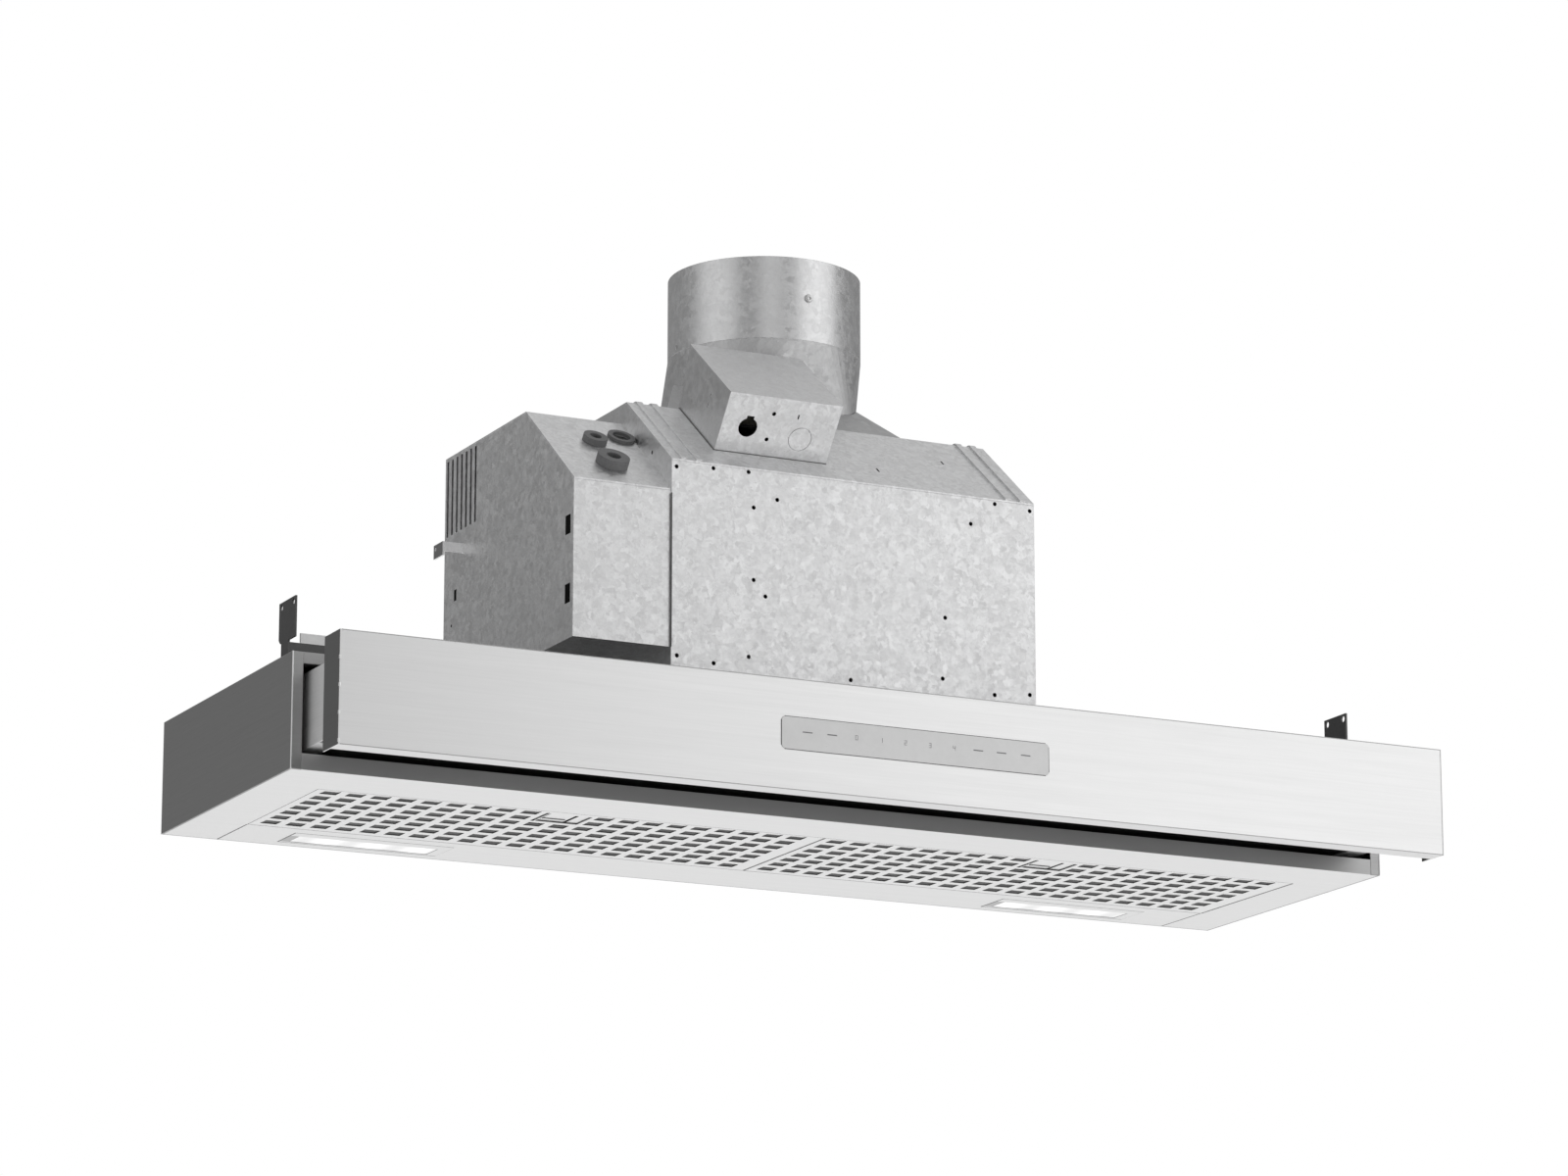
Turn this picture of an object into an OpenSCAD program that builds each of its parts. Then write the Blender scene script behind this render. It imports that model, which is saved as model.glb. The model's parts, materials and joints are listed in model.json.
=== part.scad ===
// Pull-out range hood, millimetres, +Z up, +X to the right, front towards -Y.
// The origin is the middle of the rear bottom edge of the body, on the wall plane.
// The drawer is drawn pulled out by drawer_open, which is the rest position.

/* [Body] */
// width of the hood body
body_w = 912; // [900:1:930]
// depth of the body from the wall to its front
body_d = 266; // [264:1:275]
// height of the body
body_h = 86.3; // [86:0.1:90]
// sheet thickness of the body
sheet = 1.5; // [1.2:0.1:1.8]
// width of the turned-in border beside the front opening
side_border = 8.5; // [7:0.5:10]
// height of the turned-down border over the front opening
top_border = 8.5; // [7:0.5:9]
// depth of the top border's inward fold
border_fold = 10; // [6:0.5:10.5]
// height of the lip under the front opening
lip_h = 12; // [10:0.5:13]
// air opening in the top sheet, in from the housing's sides
air_side = 16; // [12:1:30]
// air opening in the top sheet, distance kept from the wall
air_back = 24; // [20:1:40]
// air opening in the top sheet, distance kept from the front
air_front = 20; // [18:1:40]

/* [Filter bay] */
// depth of the strip in front of the filters
bay_front = 58; // [56:0.5:60]
// depth of the filter bay
bay_d = 144; // [143:0.5:145]
// width of the strip beside the filter bay
bay_side = 44.5; // [43.5:0.5:45.5]
// height of the upturned edges round the bay
curb_h = 14; // [13:0.5:15]
// thickness of the upturned edges round the bay
curb_t = 1.2; // [1:0.1:1.5]
// thickness of the divider between the filters
divider_t = 1; // [0.8:0.1:1.2]
// gap left round each filter
filter_gap = 0.5; // [0.4:0.1:0.6]
// gap behind each filter, for its swing
filter_rear_gap = 1.3; // [1.3:0.1:1.6]

/* [Filters] */
// height of a filter
filter_t = 10; // [9.5:0.5:10.5]
// thickness of the slotted face
face_t = 0.7; // [0.6:0.05:0.8]
// width of the frame behind the face
frame_w = 8; // [7:0.5:9]
// width of one slot
slot_w = 13; // [12:0.5:14]
// depth of one slot
slot_d = 12.2; // [9.5:0.1:12.4]
// spacing of the slots both ways
slot_pitch = 19.9; // [19.7:0.1:20]
// first slot column from the left edge of a filter
slot_side_in = 12.6; // [12:0.1:13]
// first slot row from the front edge of a filter
slot_front_in = 8.7; // [8.5:0.1:9.5]
// opening in the mesh core
mesh_hole = 7; // [5:0.5:8]
// height of the mesh core
core_h = 7; // [5:0.5:7.5]
// radius of a filter's pivot pin
pivot_r = 1.5; // [1.3:0.1:1.6]
// radial play of a pivot pin
pivot_play = 0.06; // [0.05:0.01:0.1]
// pivot pin from the rear edge of a filter
pivot_in = 3.2; // [3:0.1:3.3]
// pivot pin above the underside
pivot_z = 3; // [2.9:0.1:3.1]

/* [Filter latch] */
// latch middle left of the filter's middle
latch_off = 1; // [0:0.5:3]
// width of the window in the face
latch_window_w = 34; // [32:0.5:34.5]
// depth of the window in the face
latch_window_d = 29.5; // [28:0.5:31]
// window from the front edge of a filter
latch_window_in = 6.5; // [6:0.5:8]
// how far the latch plate runs past the window at each side
latch_side = 1.2; // [1:0.1:1.4]
// gap between the latch's tongue and the strip in front of it
tongue_gap = 0.2; // [0.1:0.05:0.4]
// thickness of the latch plate
latch_t = 1.2; // [1:0.1:1.4]
// height of the latch plate above the underside
latch_z = 1; // [0.95:0.05:1.2]
// latch plate beyond the window at the back
latch_tail = 6; // [5:0.5:6]
// travel of the latch
latch_travel = 6; // [5.9:0.1:6.5]
// play round the latch
latch_play = 0.4; // [0.3:0.1:0.5]
// width of the slits beside the finger lip
slit_w = 2.6; // [2:0.1:3]
// length of the short slit
slit_l = 20; // [18:0.5:22]
// wide slit from the right side of the window
slit_right = 9; // [8:0.5:10]
// long slit in the face, left of the window
face_slit_gap = 1; // [0.8:0.1:1.2]
// finger lip of the latch from the window's back edge
lip_back = 8; // [7:0.5:9]
// length of the finger lip
lip_l = 18; // [16:0.5:19]

/* [Lights] */
// width of a light window
light_w = 130; // [120:1:140]
// depth of a light window
light_d = 38; // [36:0.5:40]
// light window middle from the side of the body
light_in = 153.5; // [150:0.5:158]
// light window from the wall
light_back = 12; // [11:0.5:13]
// top of the light housing above the underside
light_h = 19; // [18:0.5:20]
// wall of the light housing
light_wall = 1.2; // [1:0.1:1.5]
// underside of the lens above the underside of the hood
lens_z = 0.5; // [0.4:0.1:2]
// thickness of the lens
lens_t = 2.5; // [2:0.1:3]
// underside of the light board
board_z = 14; // [13:0.5:14.5]
// thickness of the circuit boards
board_t = 1.6; // [1.4:0.1:1.8]
// size of one light chip
chip = 3.5; // [3:0.1:4]
// height of one light chip
chip_h = 0.8; // [0.6:0.1:1]
// light chips on a board
chips = 6; // [4:1:8]

/* [Drawer] */
// how far the drawer stands open at rest
drawer_open = 62.5; // [60:0.5:65]
// height of the front panel
panel_h = 83; // [82:0.5:84]
// depth of the panel's side returns
panel_d = 29; // [28:0.5:30]
// depth of the panel's top and bottom returns
panel_lip = 17; // [16:0.5:18]
// sheet thickness of the drawer
thin = 1.2; // [1:0.1:1.3]
// drawer wall in from the side of the body
wall_in = 13.3; // [13:0.1:14]
// bottom of the drawer walls
wall_z = 16.5; // [16:0.5:17.5]
// height of the drawer walls
wall_h = 56; // [55:0.5:57.5]
// rear end of the drawer walls from the wall plane
wall_end = 72; // [71:0.5:74]
// width of the wall's bottom flange
wall_flange = 16; // [14:0.5:17]
// front end of the bottom flange behind the liner
flange_back = 54.5; // [50:0.5:58]
// slant of the bottom flange's front end
flange_slant = 12; // [8:0.5:14]
// thickness of the visor plate
visor_t = 1.5; // [1.2:0.1:2]
// rear edge of the visor plate from the wall plane
visor_end = 131; // [128:0.5:134]

/* [Touch control] */
// width of the touch plate
touch_w = 221; // [210:1:230]
// height of the touch plate
touch_h = 24; // [22:0.5:26]
// bottom of the touch plate
touch_z = 30.2; // [28:0.1:32]
// thickness of the touch plate
touch_t = 1.6; // [1.5:0.1:2]
// corner radius of the touch plate
touch_r = 3; // [2:0.5:4]
// circuit board in from the edge of the touch plate
control_in = 4; // [3:0.5:5]

/* [Telescopic slides] */
// height of the outer and inner members
rail_h = 35; // [33:0.5:35.5]
// bottom of the slides
rail_z = 34; // [32.5:0.5:34]
// metal thickness of the slides
rail_t = 1.2; // [1:0.1:1.4]
// flange width of the outer and inner members
rail_flange = 5; // [4.5:0.1:5.5]
// play between nested members, up and down
rail_play = 0.4; // [0.3:0.1:0.5]
// play between nested members, sideways
rail_side_play = 0.25; // [0.2:0.05:0.3]
// width of the middle member
rail_mid_w = 10; // [9:0.5:10.5]
// length of each member
rail_len = 243; // [240:1:245]
// rear end of the closed slides from the wall plane
rail_back = 12.5; // [12:0.5:13]
// gap left when the drawer is closed
closed_gap = 1; // [0.8:0.1:1.5]
// thickness of the hanger plate
hanger_t = 2; // [1.5:0.1:2.5]
// width of the hanger's top flange
hanger_foot = 16; // [14:0.5:18]

/* [Blower housing] */
// width of the housing
house_w = 308; // [304:1:312]
// housing middle from the hood's middle
house_x = -1.5; // [-3:0.5:0]
// housing front behind the body's front
house_front = 3; // [2:0.5:4]
// housing back from the wall plane
house_back = 3; // [2:0.5:4]
// top edge of the front cover
house_front_z = 266; // [264:0.5:268]
// flat top of the housing
house_top = 330; // [328:0.5:332]
// upper end of the slope from the wall plane
house_ridge = 181; // [179:0.5:183]
// sheet thickness of the housing
galv = 1.2; // [1:0.1:1.4]
// radius of the small holes in the housing
dot_r = 1.6; // [1.3:0.1:1.8]
// height of the roof ribs
rib_h = 1.5; // [1.2:0.1:2]
// width of the roof ribs
rib_w = 5; // [4:0.5:6]
// inner rib from the housing's side
rib_in_a = 22.6; // [22:0.1:23]
// outer rib from the housing's side
rib_in_b = 10; // [9.5:0.1:10.5]

/* [Duct] */
// outside radius of the round collar
duct_r = 76.2; // [75.5:0.1:77]
// duct axis from the wall plane, as a share of the ridge's distance
duct_share = 0.558; // [0.553:0.001:0.562]
// bottom edge of the collar
duct_z = 400; // [398:0.5:402]
// top edge of the collar
duct_top = 466.4; // [465:0.1:468]
// sheet thickness of the collar
duct_t = 1.2; // [1:0.1:1.4]
// left side of the blower outlet from the duct axis
outlet_left = 70; // [69:0.5:71]
// right side of the blower outlet from the duct axis
outlet_right = 56; // [55:0.5:57]
// front of the blower outlet before the duct axis
outlet_ahead = 41; // [40:0.5:42]
// back of the blower outlet behind the duct axis
outlet_behind = 51; // [50:0.5:52]
// width of the transition's base flange
duct_flange = 9; // [8:0.5:10]
// left end of the saddle from the duct axis
saddle_left = 121; // [119:0.5:123]
// right end of the saddle from the duct axis
saddle_right = 79.6; // [79:0.1:81]
// inward slant of the saddle's ends
saddle_slant = 23; // [22:0.5:24]
// gap between the saddle and the transition
saddle_gap = 0.6; // [0.5:0.1:0.8]

/* [Damper] */
// radius of the damper spindle
spindle_r = 2; // [1.8:0.1:2.2]
// radial play of the flaps on the spindle
spindle_play = 0.05; // [0.03:0.01:0.08]
// outside radius of the flap tubes
tube_r = 3.2; // [3:0.1:3.5]
// height of the spindle
spindle_z = 404.5; // [404.3:0.1:407]
// thickness of a flap
flap_t = 1; // [0.8:0.1:1.2]
// gap round the flaps
flap_gap = 1.5; // [1.2:0.1:2]

/* [Blower] */
// scroll axis before the duct axis
fan_ahead = 49; // [48:0.5:50]
// scroll axis height
fan_z = 200; // [199:0.5:201]
// scroll radius at the cut-off
volute_r = 75; // [74:0.5:76]
// sheet thickness of the scroll
scroll_t = 1; // [0.8:0.1:1.2]
// steps of the scroll's curve
volute_steps = 40; // [30:1:48]
// radius of the air inlets
inlet_r = 52; // [51:0.5:53]
// width of the inlet ring's flange
inlet_flange = 10; // [9:0.5:11]
// depth of the inlet throat
inlet_d = 5; // [4:0.5:6]
// outside radius of the impeller
fan_r = 68; // [67:0.5:69]
// inside radius of the blades
blade_in_r = 57; // [56.5:0.5:58]
// length of the impeller
fan_len = 108; // [106:0.5:110]
// thickness of the blades
blade_t = 0.8; // [0.7:0.1:1]
// number of blades
blades = 30; // [24:1:32]
// blade angle
blade_angle = 30; // [20:1:35]
// thickness of the impeller's rings and hub plate
hub_t = 2; // [1.8:0.1:2.4]
// radius of the hub
hub_r = 9; // [8:0.5:10]
// length of the hub
hub_len = 10; // [9:0.5:11]
// radius of the motor
motor_r = 38; // [36:0.5:40]
// length of the motor
motor_len = 62; // [60:0.5:64]
// gap between the motor and the hub
motor_gap = 4; // [3.5:0.5:5]
// radius of the motor shaft
shaft_r = 4; // [3.8:0.1:4.2]
// radial play of the shaft in the motor
shaft_play = 0.05; // [0.03:0.01:0.08]
// depth of the shaft in the motor
shaft_in = 24; // [20:0.5:28]
// thickness of the motor bracket
bracket_t = 2; // [1.6:0.1:2.4]
// width of a bracket arm
arm_w = 10; // [8:0.5:12]

/* [Junction box] */
// left side of the junction box from the hood's middle
jbox_left = 110; // [108:0.5:112]
// width of the junction box
jbox_w = 94.5; // [93:0.5:96]
// front of the junction box down the slope
jbox_down = 76; // [74:0.5:78]
// back of the junction box past the ridge, at its foot
jbox_up = 3; // [2:0.5:4]
// back of the junction box past the ridge, at its top
jbox_up_top = 16; // [14:0.5:17]
// height of the junction box off the slope
jbox_h = 48; // [46:0.5:50]
// sheet thickness of the junction box
jbox_t = 1.2; // [1:0.1:1.4]
// radius of the cable hole
cable_r = 7.6; // [7:0.1:8]
// cable hole from the left side of the box
cable_x = 21.9; // [21:0.1:23]
// cable hole off the slope
cable_h = 21.2; // [20:0.1:22]
// width of the key notch over the cable hole
key_w = 6; // [5:0.5:7]
// height of the key notch over the cable hole's rim
key_h = 1.8; // [1:0.1:2.5]
// radius of the knock-out
knock_r = 9.6; // [9:0.1:10.5]
// knock-out from the left side of the box
knock_x = 67; // [66:0.5:69]
// knock-out off the slope
knock_h = 17; // [16:0.5:18]
// width and depth of the knock-out's groove
groove = 0.5; // [0.4:0.1:0.6]
// cover screw holes from the left side of the box
cover_hole_x = 40; // [39:0.5:41]
// lower cover screw hole off the slope
cover_hole_a = 13.6; // [13:0.1:14]
// upper cover screw hole off the slope
cover_hole_b = 34.8; // [34:0.1:35.5]

/* [Wiring box] */
// width of the wiring box
wire_w = 79.4; // [76:0.1:82]
// back of the wiring box from the wall plane
wire_back = 16; // [14:0.5:17]
// front of the wiring box from the wall plane
wire_front = 262; // [258:0.5:264]
// underside of the wiring box
wire_z = 121; // [118:0.5:124]
// flat top of the wiring box
wire_top = 315; // [313:0.5:317]
// top edge of the wiring box's front cover
wire_front_z = 242.7; // [241:0.1:245]
// upper end of the wiring box's slope from the wall plane
wire_ridge = 171.7; // [170:0.1:173]
// vent slot width
vent_w = 4; // [3.5:0.1:4.4]
// vent slot spacing
vent_pitch = 9.1; // [9:0.1:9.3]
// vent slots
vents = 7; // [5:1:7]
// rear vent slot from the box's back
vent_in = 4.5; // [4.4:0.1:5]
// bottom of the vent slots
vent_z = 251; // [249:0.5:253]
// top of the vent slots under the flat top
vent_top_gap = 3; // [2.5:0.1:3.5]
// hook slot width
hook_w = 8; // [7:0.5:8.5]
// hook slot height
hook_h = 14.6; // [14:0.1:15]
// hook slots behind the box's front
hook_in = 5.4; // [5:0.1:6]
// bottom of the lower hook slot
hook_z_a = 148.3; // [147:0.1:150]
// bottom of the upper hook slot
hook_z_b = 200.8; // [199:0.1:202]
// slit behind the middle of the wiring box's left side, from the box's back
side_slit_in = 22.4; // [20:0.1:25]
// length of the side slit
side_slit_l = 8.7; // [8:0.1:9.5]
// bottom of the side slit
side_slit_z = 196.7; // [195:0.1:199]
// small hole from the box's back
side_hole_in = 15.6; // [14:0.1:17]
// height of the small hole
side_hole_z = 178; // [176:0.5:180]
// width of the side slit and of the small hole
side_slit_w = 2; // [1.5:0.1:2.5]
// reach of the side bracket out from the wiring box
tab_out = 15; // [13:0.5:16]
// side bracket from the box's back
tab_in = 34; // [32:0.5:36]
// depth of the side bracket's end plate
tab_d = 16.5; // [15:0.5:18]
// height of the side bracket's strap
tab_h = 7.5; // [7:0.5:8.5]
// bottom of the side bracket's strap
tab_z = 232; // [230:0.5:234]
// how far the end plate hangs below the strap
tab_drop = 3.5; // [3:0.5:5]
// thickness of the side bracket
tab_t = 1.5; // [1.2:0.1:1.8]

/* [Grommets] */
// outside radius of the small grommet
grom_a_r = 9.5; // [9:0.1:9.8]
// bore radius of the small grommet
grom_a_bore = 4.5; // [4:0.1:5]
// height of the small grommet
grom_a_h = 5.3; // [5:0.1:6]
// small grommet down the slope
grom_a_down = 43.5; // [42:0.1:45]
// small grommet from the housing's side
grom_a_in = 37.9; // [36:0.1:39]
// outside radius of the large grommet
grom_b_r = 12.5; // [12:0.1:13]
// bore radius of the large grommet
grom_b_bore = 5.5; // [5:0.1:6]
// height of the large grommet
grom_b_h = 7.5; // [7:0.1:8]
// large grommet down the slope
grom_b_down = 83.7; // [82:0.1:86]
// large grommet from the housing's side
grom_b_in = 37.7; // [36:0.1:39]
// outside radius of the cable ring
ring_r = 10.8; // [10.4:0.1:10.8]
// bore radius of the cable ring
ring_bore = 7; // [6.5:0.1:7.5]
// height of the cable ring
ring_h = 2.6; // [2.4:0.1:3]
// cable ring down the slope
ring_down = 30.5; // [29:0.5:32]
// cable ring from the housing's side
ring_in = 11.3; // [11.1:0.1:11.5]

/* [Electronics] */
// power board width
power_w = 60; // [58:0.5:62]
// power board depth
power_d = 150; // [145:1:155]
// power board height over the box's floor
power_up = 10; // [9:0.5:11]
// power board from the box's left side
power_in = 9; // [8:0.5:10]
// power board from the box's back
power_back = 44; // [42:0.5:46]
// radius of a board post
post_r = 3; // [2.8:0.1:3.2]
// board post in from the board's edges
post_in = 6; // [5:0.5:7]
// radius of the run capacitor
cap_r = 14; // [13:0.5:15]
// height of the run capacitor
cap_l = 52; // [50:0.5:54]
// run capacitor's axis from the box's back
cap_back = 22; // [20:0.5:24]
// width of the transformer
trafo_w = 36; // [34:0.5:38]
// height of the transformer
trafo_h = 30; // [28:0.5:32]
// width of the terminal block
term_w = 42; // [40:0.5:44]
// depth of the terminal block
term_d = 16; // [15:0.5:17]
// height of the terminal block
term_h = 14; // [13:0.5:15]
// poles of the terminal block
poles = 4; // [3:1:5]

/* [Cabinet brackets] */
// outer face of a bracket in from the side of the body
mount_in = 11; // [10:0.5:12]
// thickness of the brackets, rails and strips
mount_t = 1.5; // [1.2:0.1:2]
// middle of a bracket from the wall plane
mount_y = 225; // [224:0.5:226]
// width of a bracket
mount_w = 32; // [31:0.5:33]
// bottom of the wide part of a bracket over the body
mount_up = 17.2; // [17:0.1:19]
// top of a bracket over the body
mount_h = 47.7; // [46:0.1:49]
// radius of the bracket holes
mount_hole_r = 2.6; // [2.3:0.1:2.8]
// spacing of the bracket holes
mount_pitch = 23.5; // [23:0.1:24]
// bracket holes under the top edge
mount_hole_in = 4; // [3.8:0.1:4.5]
// cut corner of a bracket
mount_cut = 3; // [2:0.5:4]
// front of the mounting rail from the wall plane
seat_front = 228; // [227:0.5:229]
// depth of the mounting rail
seat_d = 14; // [13:0.5:15]
// height of the mounting rail
seat_h = 15.7; // [15:0.1:16.5]
// length of the mounting rail
seat_l = 113; // [108:1:118]
// start of the backing strip from the side of the body
strip_in = 26; // [25:0.5:28]
// bottom of the backing strip over the body
strip_up = 11.7; // [11:0.1:12.5]
// height of the backing strip
strip_h = 15; // [14:0.5:16]
// rounded corner of the backing strip
strip_r = 6; // [5:0.5:7]

/* [Which node] */
// node to draw

/* [Hidden] */
$fn = 72;
// overrun of every cut
cut = sheet;
// degrees in a full turn
turn = 360;

// places of small marks, as shares of the face that carries them
cover_hole_shares = [
  [-0.487, 0.966], [-0.388, 0.978], [-0.293, 0.981], [-0.279, 0.83], [-0.215, 0.876],
  [-0.279, 0.518], [-0.247, 0.453], [-0.292, 0.187], [-0.386, 0.143], [-0.484, 0.159],
  [-0.015, 0.136], [0.239, 0.186], [0.247, 0.452], [0.321, 0.877], [0.389, 0.978],
  [0.488, 0.966], [0.384, 0.14], [0.483, 0.157]
];
roof_slit_shares = [[0.1, 0.75], [0.326, 0.43]];
side_hole_shares = [0.865, 0.79];
vent_slit_shares = [0.47, 0.645];
vent_slit_share = 0.58;
cover_slit_share = 0.635;

bx = body_w / 2;
y_front = -body_d;
bay_x = bx - bay_side;
bay_y0 = y_front + bay_front;
bay_y1 = bay_y0 + bay_d;

// one filter, seen from its own left front corner
filter_w = bay_x - filter_gap * 2 - divider_t / 2;
filter_d = bay_d - filter_gap - filter_rear_gap;
filter_y = bay_y0 + filter_gap;
slot_cols = floor((filter_w - 2 * slot_side_in) / slot_pitch) + 1;
slot_rows = floor((filter_d - 2 * slot_front_in) / slot_pitch) + 1;
latch_at = filter_w / 2 - latch_off;
light_x = bx - light_in;
left_x = -bay_x + filter_gap;
right_x = divider_t / 2 + filter_gap;
pivot_y = filter_y + filter_d - pivot_in;
pin_tip = pivot_play;
latch_w = latch_window_w + 2 * latch_side;
window_y = filter_y + latch_window_in;

// drawer
panel_y = y_front - drawer_open - panel_d;
liner_y = panel_y + panel_lip;
wall_x = bx - wall_in;
wall_y0 = liner_y;
flange_top = wall_z + thin;
visor_top = flange_top + visor_t;

// telescopic slides, half travel for the middle members
shift = drawer_open - closed_gap;
rail_y_closed = -rail_back - rail_len;
mid_x1 = wall_x - thin - rail_t - rail_side_play;
mid_x0 = mid_x1 - rail_mid_w;
outer_x = mid_x0 - rail_side_play;

// blower housing
hx0 = house_x - house_w / 2;
hx1 = house_x + house_w / 2;
hy0 = y_front + house_front;
hy1 = -house_back;
slope = atan2(house_top - house_front_z, -house_ridge - hy0);
slope_l = norm([house_top - house_front_z, -house_ridge - hy0]);

// duct
duct_y = house_ridge * duct_share;
outlet_front = duct_y + outlet_ahead;
outlet_back = duct_y - outlet_behind;
saddle_run = house_ridge - outlet_front;

// wiring box
wx1 = hx0;
wx0 = wx1 - wire_w;
grom_a_x = wx1 - grom_a_in;
grom_b_x = wx1 - grom_b_in;
wire_slope = atan2(wire_top - wire_front_z, wire_front - wire_ridge);
floor_z = wire_z + galv;

// blower
sx0 = -outlet_left;
sx1 = outlet_right;
fan_x = (sx0 + sx1) / 2;
fan_y = duct_y + fan_ahead;
volute_end = fan_y - outlet_back;
motor_x1 = fan_x - hub_len / 2 - motor_gap;
motor_x0 = motor_x1 - motor_len;

// a box between two corners
module block(x0, x1, y0, y1, z0, z1)
  translate([x0, y0, z0]) cube([x1 - x0, y1 - y0, z1 - z0]);

// a side view, listed as y and z, drawn out along X
module along_x(points, x0, x1)
  translate([x0, 0, 0]) rotate([90, 0, 90]) linear_extrude(x1 - x0) polygon(points);

// a round bar along X
module bar_x(r, x0, x1, y, z)
  translate([x0, y, z]) rotate([0, 90, 0]) cylinder(h = x1 - x0, r = r);

// a round bar along Y
module bar_y(r, y0, y1, x, z)
  translate([x, y0, z]) rotate([-90, 0, 0]) cylinder(h = y1 - y0, r = r);

// a rounded plate in the front plane
module rounded(w, h, t, r)
  rotate([90, 0, 0]) linear_extrude(t) {
    translate([-w / 2 + r, 0]) square([w - 2 * r, h]);
    translate([-w / 2, r]) square([w, h - 2 * r]);
    for (x = [-w / 2 + r, w / 2 - r], z = [r, h - r]) translate([x, z]) circle(r);
  }

module mirrored() {
  children();
  mirror([1, 0, 0]) children();
}

// body

module body_side() {
  block(-bx, -bx + sheet, y_front, 0, 0, body_h);
  block(-bx, -bx + side_border, y_front, y_front + sheet, 0, body_h);
}

module body_sides() color("Gray") mirrored() body_side();

module body_top() color("Silver") {
  inner = bx - sheet;
  difference() {
    block(-inner, inner, y_front + sheet, -sheet, body_h - sheet, body_h);
    block(hx0 + air_side, hx1 - air_side, y_front + air_front, -air_back, body_h - sheet - cut, body_h + cut);
  }
  block(-bx + side_border, bx - side_border, y_front, y_front + sheet, body_h - top_border, body_h);
  block(-bx + side_border, bx - side_border, y_front + sheet, y_front + border_fold,
    body_h - top_border, body_h - top_border + sheet);
}

module body_back() color("Silver")
  block(-bx + sheet, bx - sheet, -sheet, 0, 0, body_h);

module underside_frame() color("Gainsboro") {
  inner = bx - sheet;
  difference() {
    block(-inner, inner, y_front + sheet, -sheet, 0, sheet);
    block(-bay_x, bay_x, bay_y0, cut, -cut, sheet + cut);
  }
  block(-bx + side_border, bx - side_border, y_front, y_front + sheet, 0, lip_h);
  mirrored() difference() {
    block(-bay_x - curb_t, -bay_x, bay_y0, bay_y1, 0, curb_h);
    bar_x(pivot_r + pivot_play, -bay_x - curb_t - cut, -bay_x + cut, pivot_y, pivot_z);
  }
}

module light_strip() color("Gainsboro") {
  difference() {
    block(-bay_x, bay_x, bay_y1, -sheet, 0, sheet);
    mirrored() block(light_x - light_w / 2, light_x + light_w / 2,
      -light_back - light_d, -light_back, -cut, sheet + cut);
  }
  block(-bay_x, bay_x, bay_y1, bay_y1 + curb_t, 0, curb_h);
}

module filter_divider() color("Silver") {
  foot = bay_front / 8;
  difference() {
    block(-divider_t / 2, divider_t / 2, bay_y0, bay_y1, pivot_play, curb_h);
    bar_x(pivot_r + pivot_play, -cut, cut, pivot_y, pivot_z);
  }
  block(-foot, foot, bay_y0 - foot, bay_y0 - filter_gap, sheet, sheet + curb_t);
  block(-divider_t / 2, divider_t / 2, bay_y0 - foot, bay_y0, sheet, curb_h);
}

// lights

module light_housing() {
  w = light_w / 2;
  difference() {
    block(light_x - w - light_wall, light_x + w + light_wall,
      -light_back - light_d - light_wall, -light_back + light_wall, sheet, light_h);
    block(light_x - w, light_x + w, -light_back - light_d, -light_back, sheet - cut, light_h - light_wall);
  }
}

module light_lens()
  block(light_x - light_w / 2, light_x + light_w / 2, -light_back - light_d, -light_back,
    lens_z, lens_z + lens_t);

module light_board() {
  pitch = light_w / chips;
  block(light_x - light_w / 2, light_x + light_w / 2, -light_back - light_d, -light_back,
    board_z, board_z + board_t);
  for (i = [0 : chips - 1])
    translate([light_x - light_w / 2 + pitch * (i + 1 / 2) - chip / 2,
      -light_back - light_d / 2 - chip / 2, board_z - chip_h]) cube([chip, chip, chip_h]);
}

module light_housings() color("Silver") mirrored() light_housing();

module light_lenses() color("White") mirrored() light_lens();

module light_boards() color("Ivory") mirrored() light_board();

// filters, drawn with their left front corner at x0

function slot_x(i) = slot_side_in + i * slot_pitch;
function slot_y(j) = slot_front_in + j * slot_pitch;
function at_latch(i, j) =
  abs(slot_x(i) - latch_at) < latch_w / 2 + slot_w / 2 && slot_y(j) < latch_window_in + latch_window_d;

module filter_face(x0) difference() {
  block(x0, x0 + filter_w, filter_y, filter_y + filter_d, 0, face_t);
  for (i = [0 : slot_cols - 1], j = [0 : slot_rows - 1])
    if (!at_latch(i, j))
      translate([x0 + slot_x(i) - slot_w / 2, filter_y + slot_y(j) - slot_d / 2, -cut])
        cube([slot_w, slot_d, face_t + 2 * cut]);
  translate([x0 + latch_at - latch_window_w / 2, window_y, -cut])
    cube([latch_window_w, latch_window_d, face_t + 2 * cut]);
  translate([x0 + latch_at - latch_window_w / 2 - face_slit_gap - slit_w, window_y - slit_w / 2, -cut])
    cube([slit_w, latch_window_d + slit_w, face_t + 2 * cut]);
}

// frame with a pivot pin at each side, from pin_0 to pin_1
module filter_frame(x0, pin_0, pin_1) {
  far = x0 + filter_w;
  difference() {
    block(x0, far, filter_y, filter_y + filter_d, face_t, filter_t);
    block(x0 + frame_w, far - frame_w, filter_y + frame_w, filter_y + filter_d - frame_w,
      face_t - cut, filter_t + cut);
    block(x0 + latch_at - latch_w / 2 - latch_play, x0 + latch_at + latch_w / 2 + latch_play,
      filter_y - cut, filter_y + frame_w + cut, face_t - cut, latch_z + latch_t + latch_play);
  }
  bar_x(pivot_r, pin_0, x0 + frame_w / 2, pivot_y, pivot_z);
  bar_x(pivot_r, far - frame_w / 2, pin_1, pivot_y, pivot_z);
}

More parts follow.
